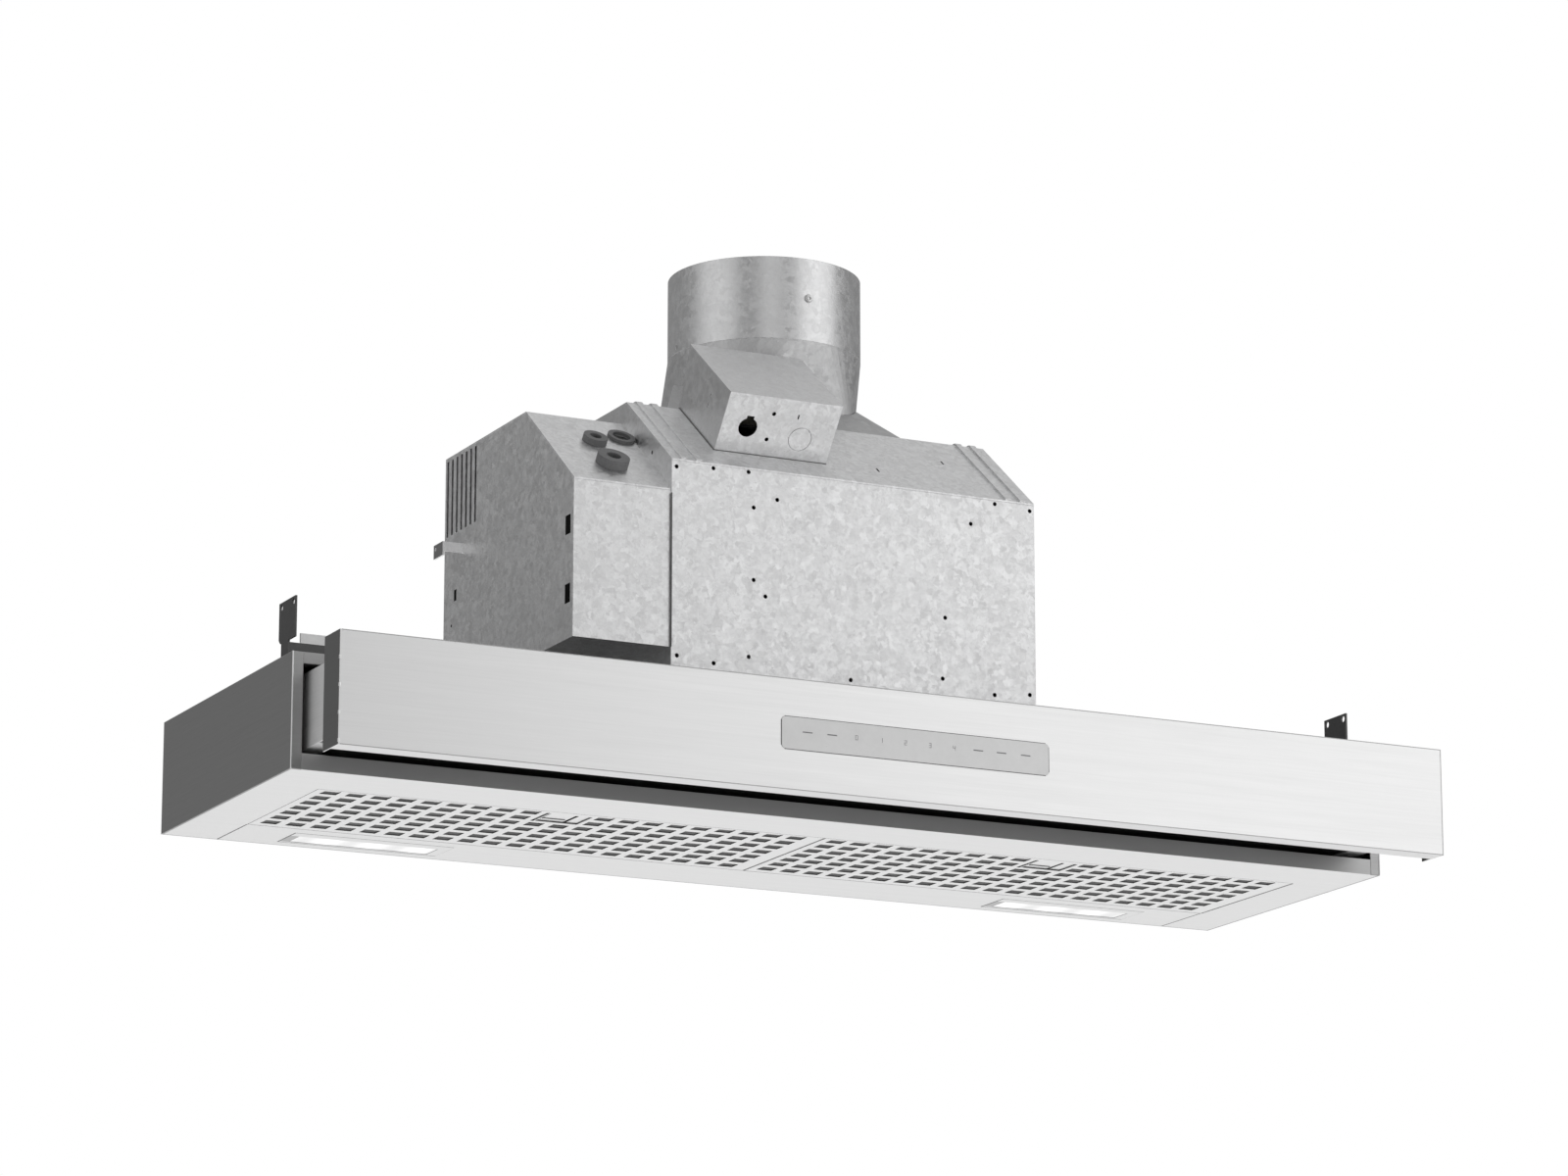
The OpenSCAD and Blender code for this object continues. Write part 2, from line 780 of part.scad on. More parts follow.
module filter_core(x0) difference() {
  block(x0 + frame_w, x0 + filter_w - frame_w, filter_y + frame_w, filter_y + filter_d - frame_w,
    face_t, face_t + core_h);
  for (i = [0 : slot_cols - 2], j = [0 : slot_rows - 2])
    translate([x0 + slot_x(i) + slot_pitch / 2 - mesh_hole / 2,
      filter_y + slot_y(j) + slot_pitch / 2 - mesh_hole / 2, face_t - cut])
      cube([mesh_hole, mesh_hole, core_h + 2 * cut]);
  translate([x0 + latch_at - latch_w / 2 - latch_play, filter_y, face_t - cut])
    cube([latch_w + 2 * latch_play,
      latch_window_in + latch_window_d + latch_tail + latch_travel + latch_play,
      core_h + 2 * cut]);
}

module filter_latch(x0) {
  left = x0 + latch_at - latch_window_w / 2;
  y1 = window_y + latch_window_d + latch_tail;
  lip_y = window_y + latch_window_d - lip_back;
  difference() {
    block(left - latch_side, left + latch_window_w + latch_side, bay_y0 + tongue_gap, y1,
      latch_z, latch_z + latch_t);
    translate([left, window_y + (latch_window_d - slit_l) / 2, latch_z - cut])
      cube([slit_w, slit_l, latch_t + 2 * cut]);
    translate([left + latch_window_w - slit_right - slit_w, window_y, latch_z - cut])
      cube([slit_w, latch_window_d, latch_t + 2 * cut]);
  }
  block(left + slit_w, left + slit_w + lip_l, lip_y - latch_t, lip_y, face_t / 2, latch_z + latch_t);
}

module left_filter_face() color("WhiteSmoke") filter_face(left_x);

module right_filter_face() color("WhiteSmoke") filter_face(right_x);

module left_filter_frame() color("Silver") filter_frame(left_x, -bay_x - curb_t, -pin_tip);

module right_filter_frame() color("Silver") filter_frame(right_x, pin_tip, bay_x + curb_t);

module left_filter_core() color("DimGray") filter_core(left_x);

module right_filter_core() color("DimGray") filter_core(right_x);

module left_filter_latch() color("WhiteSmoke") filter_latch(left_x);

module right_filter_latch() color("WhiteSmoke") filter_latch(right_x);

// drawer

module drawer_panel() color("LightGray") difference() {
  union() {
    block(-bx, bx, panel_y, panel_y + thin, 0, panel_h);
    mirrored() block(-bx, -bx + thin, panel_y, panel_y + panel_d, 0, panel_h);
    block(-bx, bx, panel_y, panel_y + panel_lip, 0, thin);
    block(-bx, bx, panel_y, panel_y + panel_lip, panel_h - thin, panel_h);
  }
  translate([0, panel_y + thin + cut, touch_z]) rounded(touch_w, touch_h, thin + 2 * cut, touch_r);
}

module drawer_liner() color("Silver")
  block(-bx + thin, bx - thin, liner_y - thin, liner_y, thin, panel_h - thin);

module drawer_wall() {
  block(-wall_x, -wall_x + thin, wall_y0, -wall_end, wall_z, wall_z + wall_h);
  y0 = wall_y0 + flange_back;
  translate([0, 0, wall_z]) linear_extrude(thin) polygon([[-wall_x, y0],
    [-wall_x + wall_flange, y0 + flange_slant], [-wall_x + wall_flange, -wall_end], [-wall_x, -wall_end]]);
}

module drawer_walls() color("Silver") mirrored() drawer_wall();

module visor_plate() color("Black")
  block(-wall_x + thin, wall_x - thin, wall_y0, -visor_end, flange_top, visor_top);

module touch_plate() color("DarkGray")
  translate([0, panel_y + thin, touch_z]) rounded(touch_w, touch_h, touch_t, touch_r);

module control_board() color("Green") {
  y = panel_y + thin;
  side = touch_w / 2 - control_in;
  key = touch_h / 6;
  difference() {
    block(-side, side, y, y + board_t, touch_z, touch_z + touch_h);
    bar_y(key / 2, y - cut, y + board_t + cut, -side + key, touch_z + key);
  }
  for (i = [-4 : 5])
    translate([(i - 1 / 2) * touch_w / 11 - key / 2, y + board_t, touch_z + touch_h / 2 - key / 2])
      cube([key, key / 2, key]);
}

// telescopic slides

module rail_c(x_web, x_tip, y0, z0, h) {
  lo = min(x_web, x_tip);
  hi = max(x_web, x_tip);
  s = x_tip > x_web ? 1 : -1;
  block(min(x_web, x_web + s * rail_t), max(x_web, x_web + s * rail_t), y0, y0 + rail_len, z0, z0 + h);
  block(lo, hi, y0, y0 + rail_len, z0, z0 + rail_t);
  block(lo, hi, y0, y0 + rail_len, z0 + h - rail_t, z0 + h);
}

module middle_rail() {
  z0 = rail_z + rail_t + rail_play;
  h = rail_h - 2 * rail_t - 2 * rail_play;
  mid = (mid_x0 + mid_x1) / 2;
  y0 = rail_y_closed - shift / 2;
  block(mid - rail_t / 2, mid + rail_t / 2, y0, y0 + rail_len, z0, z0 + h);
  block(mid_x0, mid_x1, y0, y0 + rail_len, z0, z0 + rail_t);
  block(mid_x0, mid_x1, y0, y0 + rail_len, z0 + h - rail_t, z0 + h);
}

module outer_rails() color("Silver")
  mirrored() rail_c(outer_x - rail_t, outer_x - rail_t + rail_flange, rail_y_closed, rail_z, rail_h);

module left_middle_rail() color("Silver") mirror([1, 0, 0]) middle_rail();

module right_middle_rail() color("Silver") middle_rail();

module inner_rails() color("Silver")
  mirrored() rail_c(wall_x - thin, wall_x - thin - rail_flange, rail_y_closed - shift, rail_z, rail_h);

module rail_hangers() color("LightGray") mirrored() {
  x1 = outer_x - rail_t;
  block(x1 - hanger_t, x1, rail_y_closed + hanger_t, -rail_back, rail_z - hanger_t, body_h - sheet);
  block(x1 - hanger_foot, x1, rail_y_closed + hanger_t, -rail_back, body_h - sheet - hanger_t,
    body_h - sheet);
}

// blower housing

// side view of a box with a sloped front, taken in by k
function sloped(y1, y0, ridge, top, front_z, z0, a, k) = [
  [y1 - k, z0 + k], [y1 - k, top - k], [ridge + k * tan(a / 2), top - k],
  [y0 + k, front_z - k * (1 - sin(a)) / cos(a)], [y0 + k, z0 + k]
];

// the bent sheet over the flat top and the slope
function bent(y1, y0, ridge, top, front_z, a, t) = [
  [y1, top], [ridge, top], [y0, front_z], [y0, front_z - t / cos(a)],
  [ridge + t * tan(a / 2), top - t], [y1, top - t]
];

// places its children on the housing's slope: -Y runs down it and Z stands off it
module on_slope() translate([0, -house_ridge, house_top]) rotate([slope, 0, 0]) children();

// the same on the wiring box
module on_wire_slope() translate([0, -wire_ridge, wire_top]) rotate([wire_slope, 0, 0]) children();

module housing_side(x0, x1)
  along_x(sloped(hy1, hy0, -house_ridge, house_top, house_front_z, body_h - galv, slope, galv), x0, x1);

module housing_sides() color("Silver") {
  difference() {
    housing_side(hx0, hx0 + galv);
    bar_x(dot_r, hx0 - cut, hx0 + galv + cut, side_hole_shares[0] * hy0,
      body_h + side_hole_shares[1] * (house_top - body_h));
  }
  housing_side(hx1 - galv, hx1);
}

module housing_back() color("Silver")
  block(hx0, hx1, hy1 - galv, hy1, body_h, house_top - galv);

module housing_front_cover() color("LightGray") difference() {
  top = house_front_z - galv / cos(slope);
  block(hx0, hx1, hy0, hy0 + galv, body_h, top);
  for (p = cover_hole_shares)
    bar_y(dot_r, hy0 - cut, hy0 + galv + cut, house_x + p[0] * house_w,
      body_h + p[1] * (house_front_z - body_h));
}

module housing_roof() color("LightGray") difference() {
  union() {
    along_x(bent(hy1, hy0, -house_ridge, house_top, house_front_z, slope, galv), hx0, hx1);
    for (x = [hx0 + rib_in_b, hx0 + rib_in_a, hx1 - rib_in_a, hx1 - rib_in_b]) {
      on_slope() block(x - rib_w / 2, x + rib_w / 2, -slope_l, 0, -galv / 2, rib_h);
      block(x - rib_w / 2, x + rib_w / 2, -house_ridge, hy1, house_top - galv / 2, house_top + rib_h);
    }
  }
  block(sx0 + scroll_t, sx1 - scroll_t, -outlet_front + scroll_t, -outlet_back - scroll_t,
    house_top - galv - cut, house_top + cut);
  on_slope() block(-jbox_left + jbox_w / 3, -jbox_left + jbox_w * 2 / 3, -jbox_down / 2, -jbox_down / 4,
    -galv - cut, cut);
  for (p = roof_slit_shares)
    on_slope() translate([house_x + p[0] * house_w - dot_r / 2, -p[1] * slope_l, -galv - cut])
      cube([dot_r, dot_r * 4, galv + 2 * cut]);
}

// square to round: the space between the outlet and the collar, grown by k, longer by c
module loft(k, c) hull() {
  translate([0, -duct_y, duct_z - galv]) cylinder(h = galv + c, r = duct_r + k, $fn = 64);
  block(sx0 - galv - k, sx1 + galv + k, -outlet_front - galv - k, -outlet_back + galv + k,
    house_top - c, house_top + galv);
}

// flange under the transition, grown by k
module base_flange(k)
  block(sx0 - duct_flange - k, sx1 + duct_flange + k, -outlet_front - duct_flange - k,
    -outlet_back + duct_flange + k, house_top, house_top + galv + k);

module duct_transition() color("Silver") difference() {
  union() {
    loft(0, 0);
    base_flange(0);
  }
  loft(-galv, cut);
}

// wedge over the ridge: in is the sheet left at the slope and the ends, c the overrun
module wedge(in, c) {
  run = saddle_run;
  back = run + c;
  s = in / sin(slope);
  e = in * norm([run, saddle_slant]) / run;
  lean = saddle_slant / run;
  intersection() {
    along_x([[-house_ridge + s - c / tan(slope), house_top - c], [-house_ridge + back, house_top - c],
      [-house_ridge + back, house_top + (back - s) * tan(slope)]], -saddle_left, saddle_right);
    translate([0, 0, house_top - c]) linear_extrude(run + c * 2) polygon([
      [-saddle_left + e - c * lean, -house_ridge - c], [saddle_right - e + c * lean, -house_ridge - c],
      [saddle_right - e - back * lean, -house_ridge + back],
      [-saddle_left + e + back * lean, -house_ridge + back]]);
  }
}

module duct_saddle() color("LightGray") difference() {
  wedge(0, 0);
  wedge(galv, cut);
  loft(saddle_gap, 0);
  base_flange(saddle_gap);
}

module duct_collar() color("Silver") difference() {
  translate([0, -duct_y, duct_z]) cylinder(h = duct_top - duct_z, r = duct_r);
  translate([0, -duct_y, duct_z - cut]) cylinder(h = duct_top - duct_z + 2 * cut, r = duct_r - duct_t);
  bar_x(spindle_r, -duct_r - cut, duct_r + cut, -duct_y, spindle_z);
}

module damper_spindle() color("DimGray")
  bar_x(spindle_r, -duct_r + duct_t / 4, duct_r - duct_t / 4, -duct_y, spindle_z);

// one flap: a tube on its own half of the spindle and a half disc; s is the side it covers
module flap(s) {
  far = duct_r - duct_t - flap_gap;
  x0 = s < 0 ? -far : flap_gap / 2;
  x1 = s < 0 ? -flap_gap / 2 : far;
  reach = tube_r + flap_gap / 3;
  difference() {
    union() {
      intersection() {
        translate([0, -duct_y, spindle_z - flap_t / 2]) cylinder(h = flap_t, r = far);
        if (s < 0)
          block(-duct_r, duct_r, -duct_y - duct_r, -duct_y - reach, spindle_z - flap_t, spindle_z + flap_t);
        else
          block(-duct_r, duct_r, -duct_y + reach, -duct_y + duct_r, spindle_z - flap_t, spindle_z + flap_t);
      }
      intersection() {
        bar_x(tube_r, x0, x1, -duct_y, spindle_z);
        translate([0, -duct_y, spindle_z - tube_r]) cylinder(h = tube_r * 2, r = far);
      }
      block(x0 + far / 8 * (s < 0 ? 1 : 0), x1 - far / 8 * (s < 0 ? 0 : 1), -duct_y + min(0, s * reach * 2),
        -duct_y + max(0, s * reach * 2), spindle_z - flap_t / 2, spindle_z + flap_t / 2);
    }
    bar_x(spindle_r + spindle_play, -duct_r, duct_r, -duct_y, spindle_z);
  }
}

module front_flap() color("Gray") flap(-1);

module rear_flap() color("Gray") flap(1);

// blower

// the scroll's curve, taken in by k, starts under the outlet's front wall
function volute_a(i, k) =
  let (start = acos((fan_y - outlet_front + k) / (volute_r - k))) start + (turn - start) * i / volute_steps;
function volute_point(i, k) =
  let (r = volute_r + (volute_end - volute_r) * i / volute_steps - k)
  [-fan_y + r * cos(volute_a(i, k)), fan_z + r * sin(volute_a(i, k))];

// the scroll's side view, with the outlet straight up at the back
function scroll_side(k, top) = concat(
  [for (i = [0 : volute_steps]) volute_point(i, k)],
  [[-outlet_back - k, top], [-outlet_front + k, top]]
);

module blower_scroll() color("LightGray") difference() {
  top = house_top - galv;
  along_x(scroll_side(0, top), sx0 + scroll_t, sx1 - scroll_t);
  along_x(scroll_side(scroll_t, top + cut), sx0, sx1);
}

// the scroll's side plates, each with its round air inlet
module scroll_sides() color("LightGray") for (x = [sx0, sx1 - scroll_t]) difference() {
  along_x(scroll_side(0, house_top - galv), x, x + scroll_t);
  bar_x(inlet_r + scroll_t, x - cut, x + scroll_t + cut, -fan_y, fan_z);
}

module inlet_ring() translate([sx1, -fan_y, fan_z]) rotate([0, 90, 0]) difference() {
  union() {
    cylinder(h = scroll_t, r = inlet_r + inlet_flange);
    translate([0, 0, -inlet_d]) cylinder(h = inlet_d + scroll_t / 2, r = inlet_r + scroll_t);
  }
  translate([0, 0, -inlet_d - cut]) cylinder(h = inlet_d + scroll_t + 2 * cut, r = inlet_r);
}

module inlet_rings() color("Silver") {
  inlet_ring();
  translate([2 * fan_x, 0, 0]) mirror([1, 0, 0]) inlet_ring();
}

module impeller() color("Gray") translate([fan_x, -fan_y, fan_z]) rotate([0, 90, 0]) difference() {
  union() {
    for (z = [-fan_len / 2, fan_len / 2 - hub_t])
      translate([0, 0, z]) difference() {
        cylinder(h = hub_t, r = fan_r);
        translate([0, 0, -cut]) cylinder(h = hub_t + 2 * cut, r = blade_in_r);
      }
    translate([0, 0, -hub_t / 2]) cylinder(h = hub_t, r = blade_in_r + hub_t);
    translate([0, 0, -hub_len / 2]) cylinder(h = hub_len, r = hub_r);
    for (i = [0 : blades - 1])
      rotate(i * turn / blades) translate([blade_in_r + blade_t, 0, (hub_t - fan_len) / 2])
        rotate(blade_angle)
          cube([(fan_r - blade_in_r) / cos(blade_angle) - 2 * hub_t, blade_t, fan_len - hub_t]);
  }
  translate([0, 0, -fan_len]) cylinder(h = fan_len * 2, r = shaft_r);
}

module motor_shaft() color("Silver")
  bar_x(shaft_r, motor_x1 - shaft_in, fan_x + hub_len / 2, -fan_y, fan_z);

module motor() color("DimGray") difference() {
  union() {
    bar_x(motor_r, motor_x0, motor_x1, -fan_y, fan_z);
    bar_x(motor_r / 3, motor_x1 - cut, motor_x1 + motor_gap / 2, -fan_y, fan_z);
  }
  bar_x(shaft_r + shaft_play, motor_x1 - shaft_in - shaft_play, motor_x1 + motor_gap, -fan_y, fan_z);
}

module motor_bracket() color("Silver")
  for (i = [0 : 2])
    translate([0, -fan_y, fan_z]) rotate([i * turn / 3, 0, 0]) {
      block(motor_x0 - bracket_t, motor_x0, -arm_w / 2, arm_w / 2, motor_r / 4, inlet_r + inlet_flange / 2);
      block(motor_x0 - bracket_t, sx0 - scroll_t, -arm_w / 2, arm_w / 2,
        inlet_r + inlet_flange / 2 - bracket_t, inlet_r + inlet_flange / 2);
      block(motor_x0 - bracket_t, motor_x0, -motor_r / 3, motor_r / 3, 0, motor_r / 2);
    }

// junction box, drawn in the slope's own directions

module junction_box() color("LightGray") on_slope() difference() {
  along_x([[jbox_up, 0], [jbox_up_top, jbox_h], [-jbox_down + jbox_t, jbox_h], [-jbox_down + jbox_t, 0]],
    -jbox_left, -jbox_left + jbox_w);
  along_x([[jbox_up - jbox_t, -cut], [jbox_up_top - jbox_t, jbox_h - jbox_t],
    [-jbox_down - cut, jbox_h - jbox_t], [-jbox_down - cut, -cut]],
    -jbox_left + jbox_t, -jbox_left + jbox_w - jbox_t);
  for (h = vent_slit_shares)
    translate([-jbox_left - cut, -jbox_down * vent_slit_share, h * jbox_h - key_h])
      cube([jbox_t + 2 * cut, jbox_t, key_h * 2]);
}

module junction_cover() color("LightGray") on_slope() difference() {
  block(-jbox_left, -jbox_left + jbox_w, -jbox_down, -jbox_down + jbox_t, 0, jbox_h);
  bar_y(cable_r, -jbox_down - cut, -jbox_down + jbox_t + cut, -jbox_left + cable_x, cable_h);
  block(-jbox_left + cable_x - key_w / 2, -jbox_left + cable_x + key_w / 2, -jbox_down - cut,
    -jbox_down + jbox_t + cut, cable_h, cable_h + cable_r + key_h);
  for (h = [cover_hole_a, cover_hole_b])
    bar_y(dot_r, -jbox_down - cut, -jbox_down + jbox_t + cut, -jbox_left + cover_hole_x, h);
  difference() {
    bar_y(knock_r, -jbox_down - cut, -jbox_down + groove, -jbox_left + knock_x, knock_h);
    bar_y(knock_r - groove, -jbox_down - cut * 2, -jbox_down + cut, -jbox_left + knock_x, knock_h);
  }
  translate([-jbox_left + jbox_w * cover_slit_share, -jbox_down - cut, cover_hole_b - key_h])
    cube([jbox_t, jbox_t + 2 * cut, key_h * 2]);
}

module terminal_block() color("Beige") on_slope() {
  x0 = -jbox_left + jbox_w / 2 - term_w / 2;
  y0 = -jbox_down / 5;
  wall = term_w / poles / 6;
  block(x0, x0 + term_w, y0, y0 + term_d, 0, term_h / 2);
  for (i = [0 : poles])
    translate([x0 + i * (term_w - wall) / poles, y0, 0]) cube([wall, term_d, term_h]);
}

// wiring box

module wiring_box() color("Gray") difference() {
  union() {
    along_x(sloped(-wire_back, -wire_front, -wire_ridge, wire_top, wire_front_z, wire_z - galv,
      wire_slope, galv), wx0, wx0 + galv);
    block(wx0, wx1, -wire_front + galv, -wire_back, wire_z, floor_z);
    block(wx0, wx1, -wire_back - galv, -wire_back, wire_z, wire_top - galv);
  }
  for (i = [0 : vents - 1])
    translate([wx0 - cut, -wire_back - vent_in - vent_w / 2 - i * vent_pitch, vent_z])
      cube([galv + 2 * cut, vent_w, wire_top - vent_top_gap - vent_z]);
  for (z = [hook_z_a, hook_z_b])
    block(wx0 - cut, wx0 + galv + cut, -wire_front + hook_in, -wire_front + hook_in + hook_w, z, z + hook_h);
  translate([wx0 - cut, -wire_back - side_slit_in - side_slit_w / 2, side_slit_z])
    cube([galv + 2 * cut, side_slit_w, side_slit_l]);
  bar_x(side_slit_w / 2, wx0 - cut, wx0 + galv + cut, -wire_back - side_hole_in, side_hole_z);
}

module wiring_lid() color("LightGray") difference() {
  along_x(bent(-wire_back, -wire_front, -wire_ridge, wire_top, wire_front_z, wire_slope, galv), wx0, wx1);
  on_wire_slope() {
    translate([grom_a_x, -grom_a_down, -galv - cut]) cylinder(h = galv + 2 * cut, r = grom_a_bore + galv);
    translate([grom_b_x, -grom_b_down, -galv - cut]) cylinder(h = galv + 2 * cut, r = grom_b_bore + galv);
    translate([wx1 - ring_in, -ring_down, -galv - cut]) cylinder(h = galv + 2 * cut, r = ring_bore);
  }
}

module wiring_cover() color("LightGray")
  block(wx0, wx1, -wire_front, -wire_front + galv, wire_z, wire_front_z - galv / cos(wire_slope));

module grommet(x, down, r, bore, h) on_wire_slope() translate([x, -down, 0]) difference() {
  union() {
    cylinder(h = h, r = r);
    translate([0, 0, -galv]) cylinder(h = galv + h / 2, r = bore + galv);
  }
  translate([0, 0, -galv - cut]) cylinder(h = h + galv + 2 * cut, r = bore);
}

module small_grommet() color("DimGray") grommet(grom_a_x, grom_a_down, grom_a_r, grom_a_bore, grom_a_h);

module large_grommet() color("DimGray") grommet(grom_b_x, grom_b_down, grom_b_r, grom_b_bore, grom_b_h);

module cable_ring() color("DimGray") on_wire_slope() translate([wx1 - ring_in, -ring_down, 0])
  difference() {
    cylinder(h = ring_h, r = ring_r);
    translate([0, 0, -cut]) cylinder(h = ring_h + 2 * cut, r = ring_bore);
  }

module side_bracket() color("DimGray") {
  y = -wire_back - tab_in;
  block(wx0 - tab_out, wx0, y - tab_t, y, tab_z, tab_z + tab_h);
  difference() {
    block(wx0 - tab_out - tab_t, wx0 - tab_out, y - tab_t, y + tab_d, tab_z - tab_drop, tab_z + tab_h);
    bar_x(tab_t, wx0 - tab_out - tab_t - cut, wx0 - tab_out + cut, y + tab_d * 3 / 4, tab_z + tab_h / 2);
  }
}

// parts inside the wiring box

module power_board() color("Green") {
  x0 = wx0 + power_in;
  y1 = -wire_back - power_back;
  z0 = floor_z + power_up;
  block(x0, x0 + power_w, y1 - power_d, y1, z0, z0 + board_t);
  for (x = [x0 + post_in, x0 + power_w - post_in], y = [y1 - power_d + post_in, y1 - post_in])
    translate([x, y, floor_z]) cylinder(h = power_up, r = post_r);
  translate([x0 + power_w / 2 - trafo_w / 2, y1 - power_d / 3 - trafo_w / 2, z0 + board_t])
    cube([trafo_w, trafo_w, trafo_h]);
  for (i = [0 : 2])
    translate([x0 + post_in * 2, y1 - power_d * 2 / 3 - i * post_in * 3, z0 + board_t])
      cube([trafo_w, post_in * 2, trafo_h / 2]);
}

module run_capacitor() color("White")
  translate([(wx0 + wx1) / 2, -wire_back - cap_back, floor_z]) cylinder(h = cap_l, r = cap_r);

// brackets that hold the hood in its cabinet, with the rails that they stand on

module mount_rail() {
  x0 = -bx + mount_in + mount_t;
  top = body_h + seat_h;
  difference() {
    block(x0, x0 + seat_l, -seat_front, -seat_front + seat_d, body_h, top);
    block(x0 + mount_t, x0 + seat_l - mount_t, -seat_front + mount_t, -seat_front + seat_d - mount_t,
      body_h - cut, top - mount_t);
  }
}

module backing_strip() {
  x0 = -bx + strip_in;
  x1 = -bx + mount_in + mount_t + seat_l;
  translate([0, -seat_front + seat_d + mount_t, body_h + strip_up]) rotate([90, 0, 0])
    linear_extrude(mount_t) {
      translate([x0 + strip_r, 0]) square([x1 - x0 - strip_r, strip_h]);
      translate([x0, strip_r]) square([x1 - x0, strip_h - strip_r]);
      translate([x0 + strip_r, strip_r]) circle(strip_r);
    }
}

module bracket() {
  y0 = -mount_y - mount_w / 2;
  y1 = -mount_y + mount_w / 2;
  z0 = body_h + mount_up;
  z1 = body_h + mount_h;
  x0 = -bx + mount_in;
  difference() {
    along_x([[y0, z0], [-seat_front, z0], [-seat_front, body_h], [-seat_front + seat_d, body_h],
      [-seat_front + seat_d, z0], [y1 - mount_cut, z0], [y1, z0 + mount_cut], [y1, z1], [y0, z1]],
      x0, x0 + mount_t);
    for (y = [-mount_y - mount_pitch / 2, -mount_y + mount_pitch / 2])
      bar_x(mount_hole_r, x0 - cut, x0 + mount_t + cut, y, z1 - mount_hole_in);
  }
}

module mount_rails() color("DimGray") mirrored() mount_rail();

module backing_strips() color("LightGray") mirrored() backing_strip();

module cabinet_brackets() color("DimGray") mirrored() bracket();

body_sides();
body_top();
body_back();
underside_frame();
light_strip();
filter_divider();
light_housings();
light_lenses();
light_boards();
left_filter_face();
right_filter_face();
left_filter_frame();
right_filter_frame();
left_filter_core();
right_filter_core();
left_filter_latch();
right_filter_latch();
drawer_panel();
drawer_liner();
drawer_walls();
visor_plate();
touch_plate();
control_board();
outer_rails();
left_middle_rail();
right_middle_rail();
inner_rails();
rail_hangers();
housing_sides();
housing_back();
housing_front_cover();
housing_roof();
duct_saddle();
duct_transition();
duct_collar();
damper_spindle();
front_flap();
rear_flap();
blower_scroll();
scroll_sides();
inlet_rings();
impeller();
motor_shaft();
motor();
motor_bracket();
junction_box();
junction_cover();
terminal_block();
wiring_box();
wiring_lid();
wiring_cover();
power_board();
run_capacitor();
small_grommet();
large_grommet();
cable_ring();
side_bracket();
mount_rails();
backing_strips();
cabinet_brackets();
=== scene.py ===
"""Looks of a pull-out range hood: materials, small trim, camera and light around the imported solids."""
import json
import math

import bmesh
import bpy
from mathutils import Matrix, Vector


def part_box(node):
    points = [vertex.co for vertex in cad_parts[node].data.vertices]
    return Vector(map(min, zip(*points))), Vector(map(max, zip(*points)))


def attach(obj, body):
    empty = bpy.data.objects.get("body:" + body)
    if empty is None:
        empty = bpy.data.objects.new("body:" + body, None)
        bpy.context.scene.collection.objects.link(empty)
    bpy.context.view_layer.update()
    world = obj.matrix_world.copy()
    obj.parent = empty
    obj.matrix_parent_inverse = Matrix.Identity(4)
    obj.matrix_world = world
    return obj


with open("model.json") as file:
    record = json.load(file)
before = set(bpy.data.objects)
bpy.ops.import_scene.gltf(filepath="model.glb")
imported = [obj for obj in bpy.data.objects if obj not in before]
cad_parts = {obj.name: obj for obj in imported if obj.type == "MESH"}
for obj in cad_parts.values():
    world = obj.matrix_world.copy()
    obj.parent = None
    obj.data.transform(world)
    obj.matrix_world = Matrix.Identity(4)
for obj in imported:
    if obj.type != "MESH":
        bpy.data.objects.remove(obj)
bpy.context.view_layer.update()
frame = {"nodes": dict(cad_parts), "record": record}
NODES = frame["nodes"]
scene = bpy.context.scene
scene.view_settings.view_transform = "Standard"
MM = 0.001
# faces that meet below this angle, in degrees, are shaded smooth on round pieces
ROUND = 40


# node trees

def rgba(color):
    """A grey level or a colour as the four numbers of a socket."""
    return tuple(color) + (1,) if isinstance(color, (tuple, list)) else (color, color, color, 1)


def spread(color, amount):
    """A colour made darker and brighter by the same share."""
    low = [c * (1 - amount) for c in color]
    high = [min(1, c * (1 + amount)) for c in color]
    return low, high


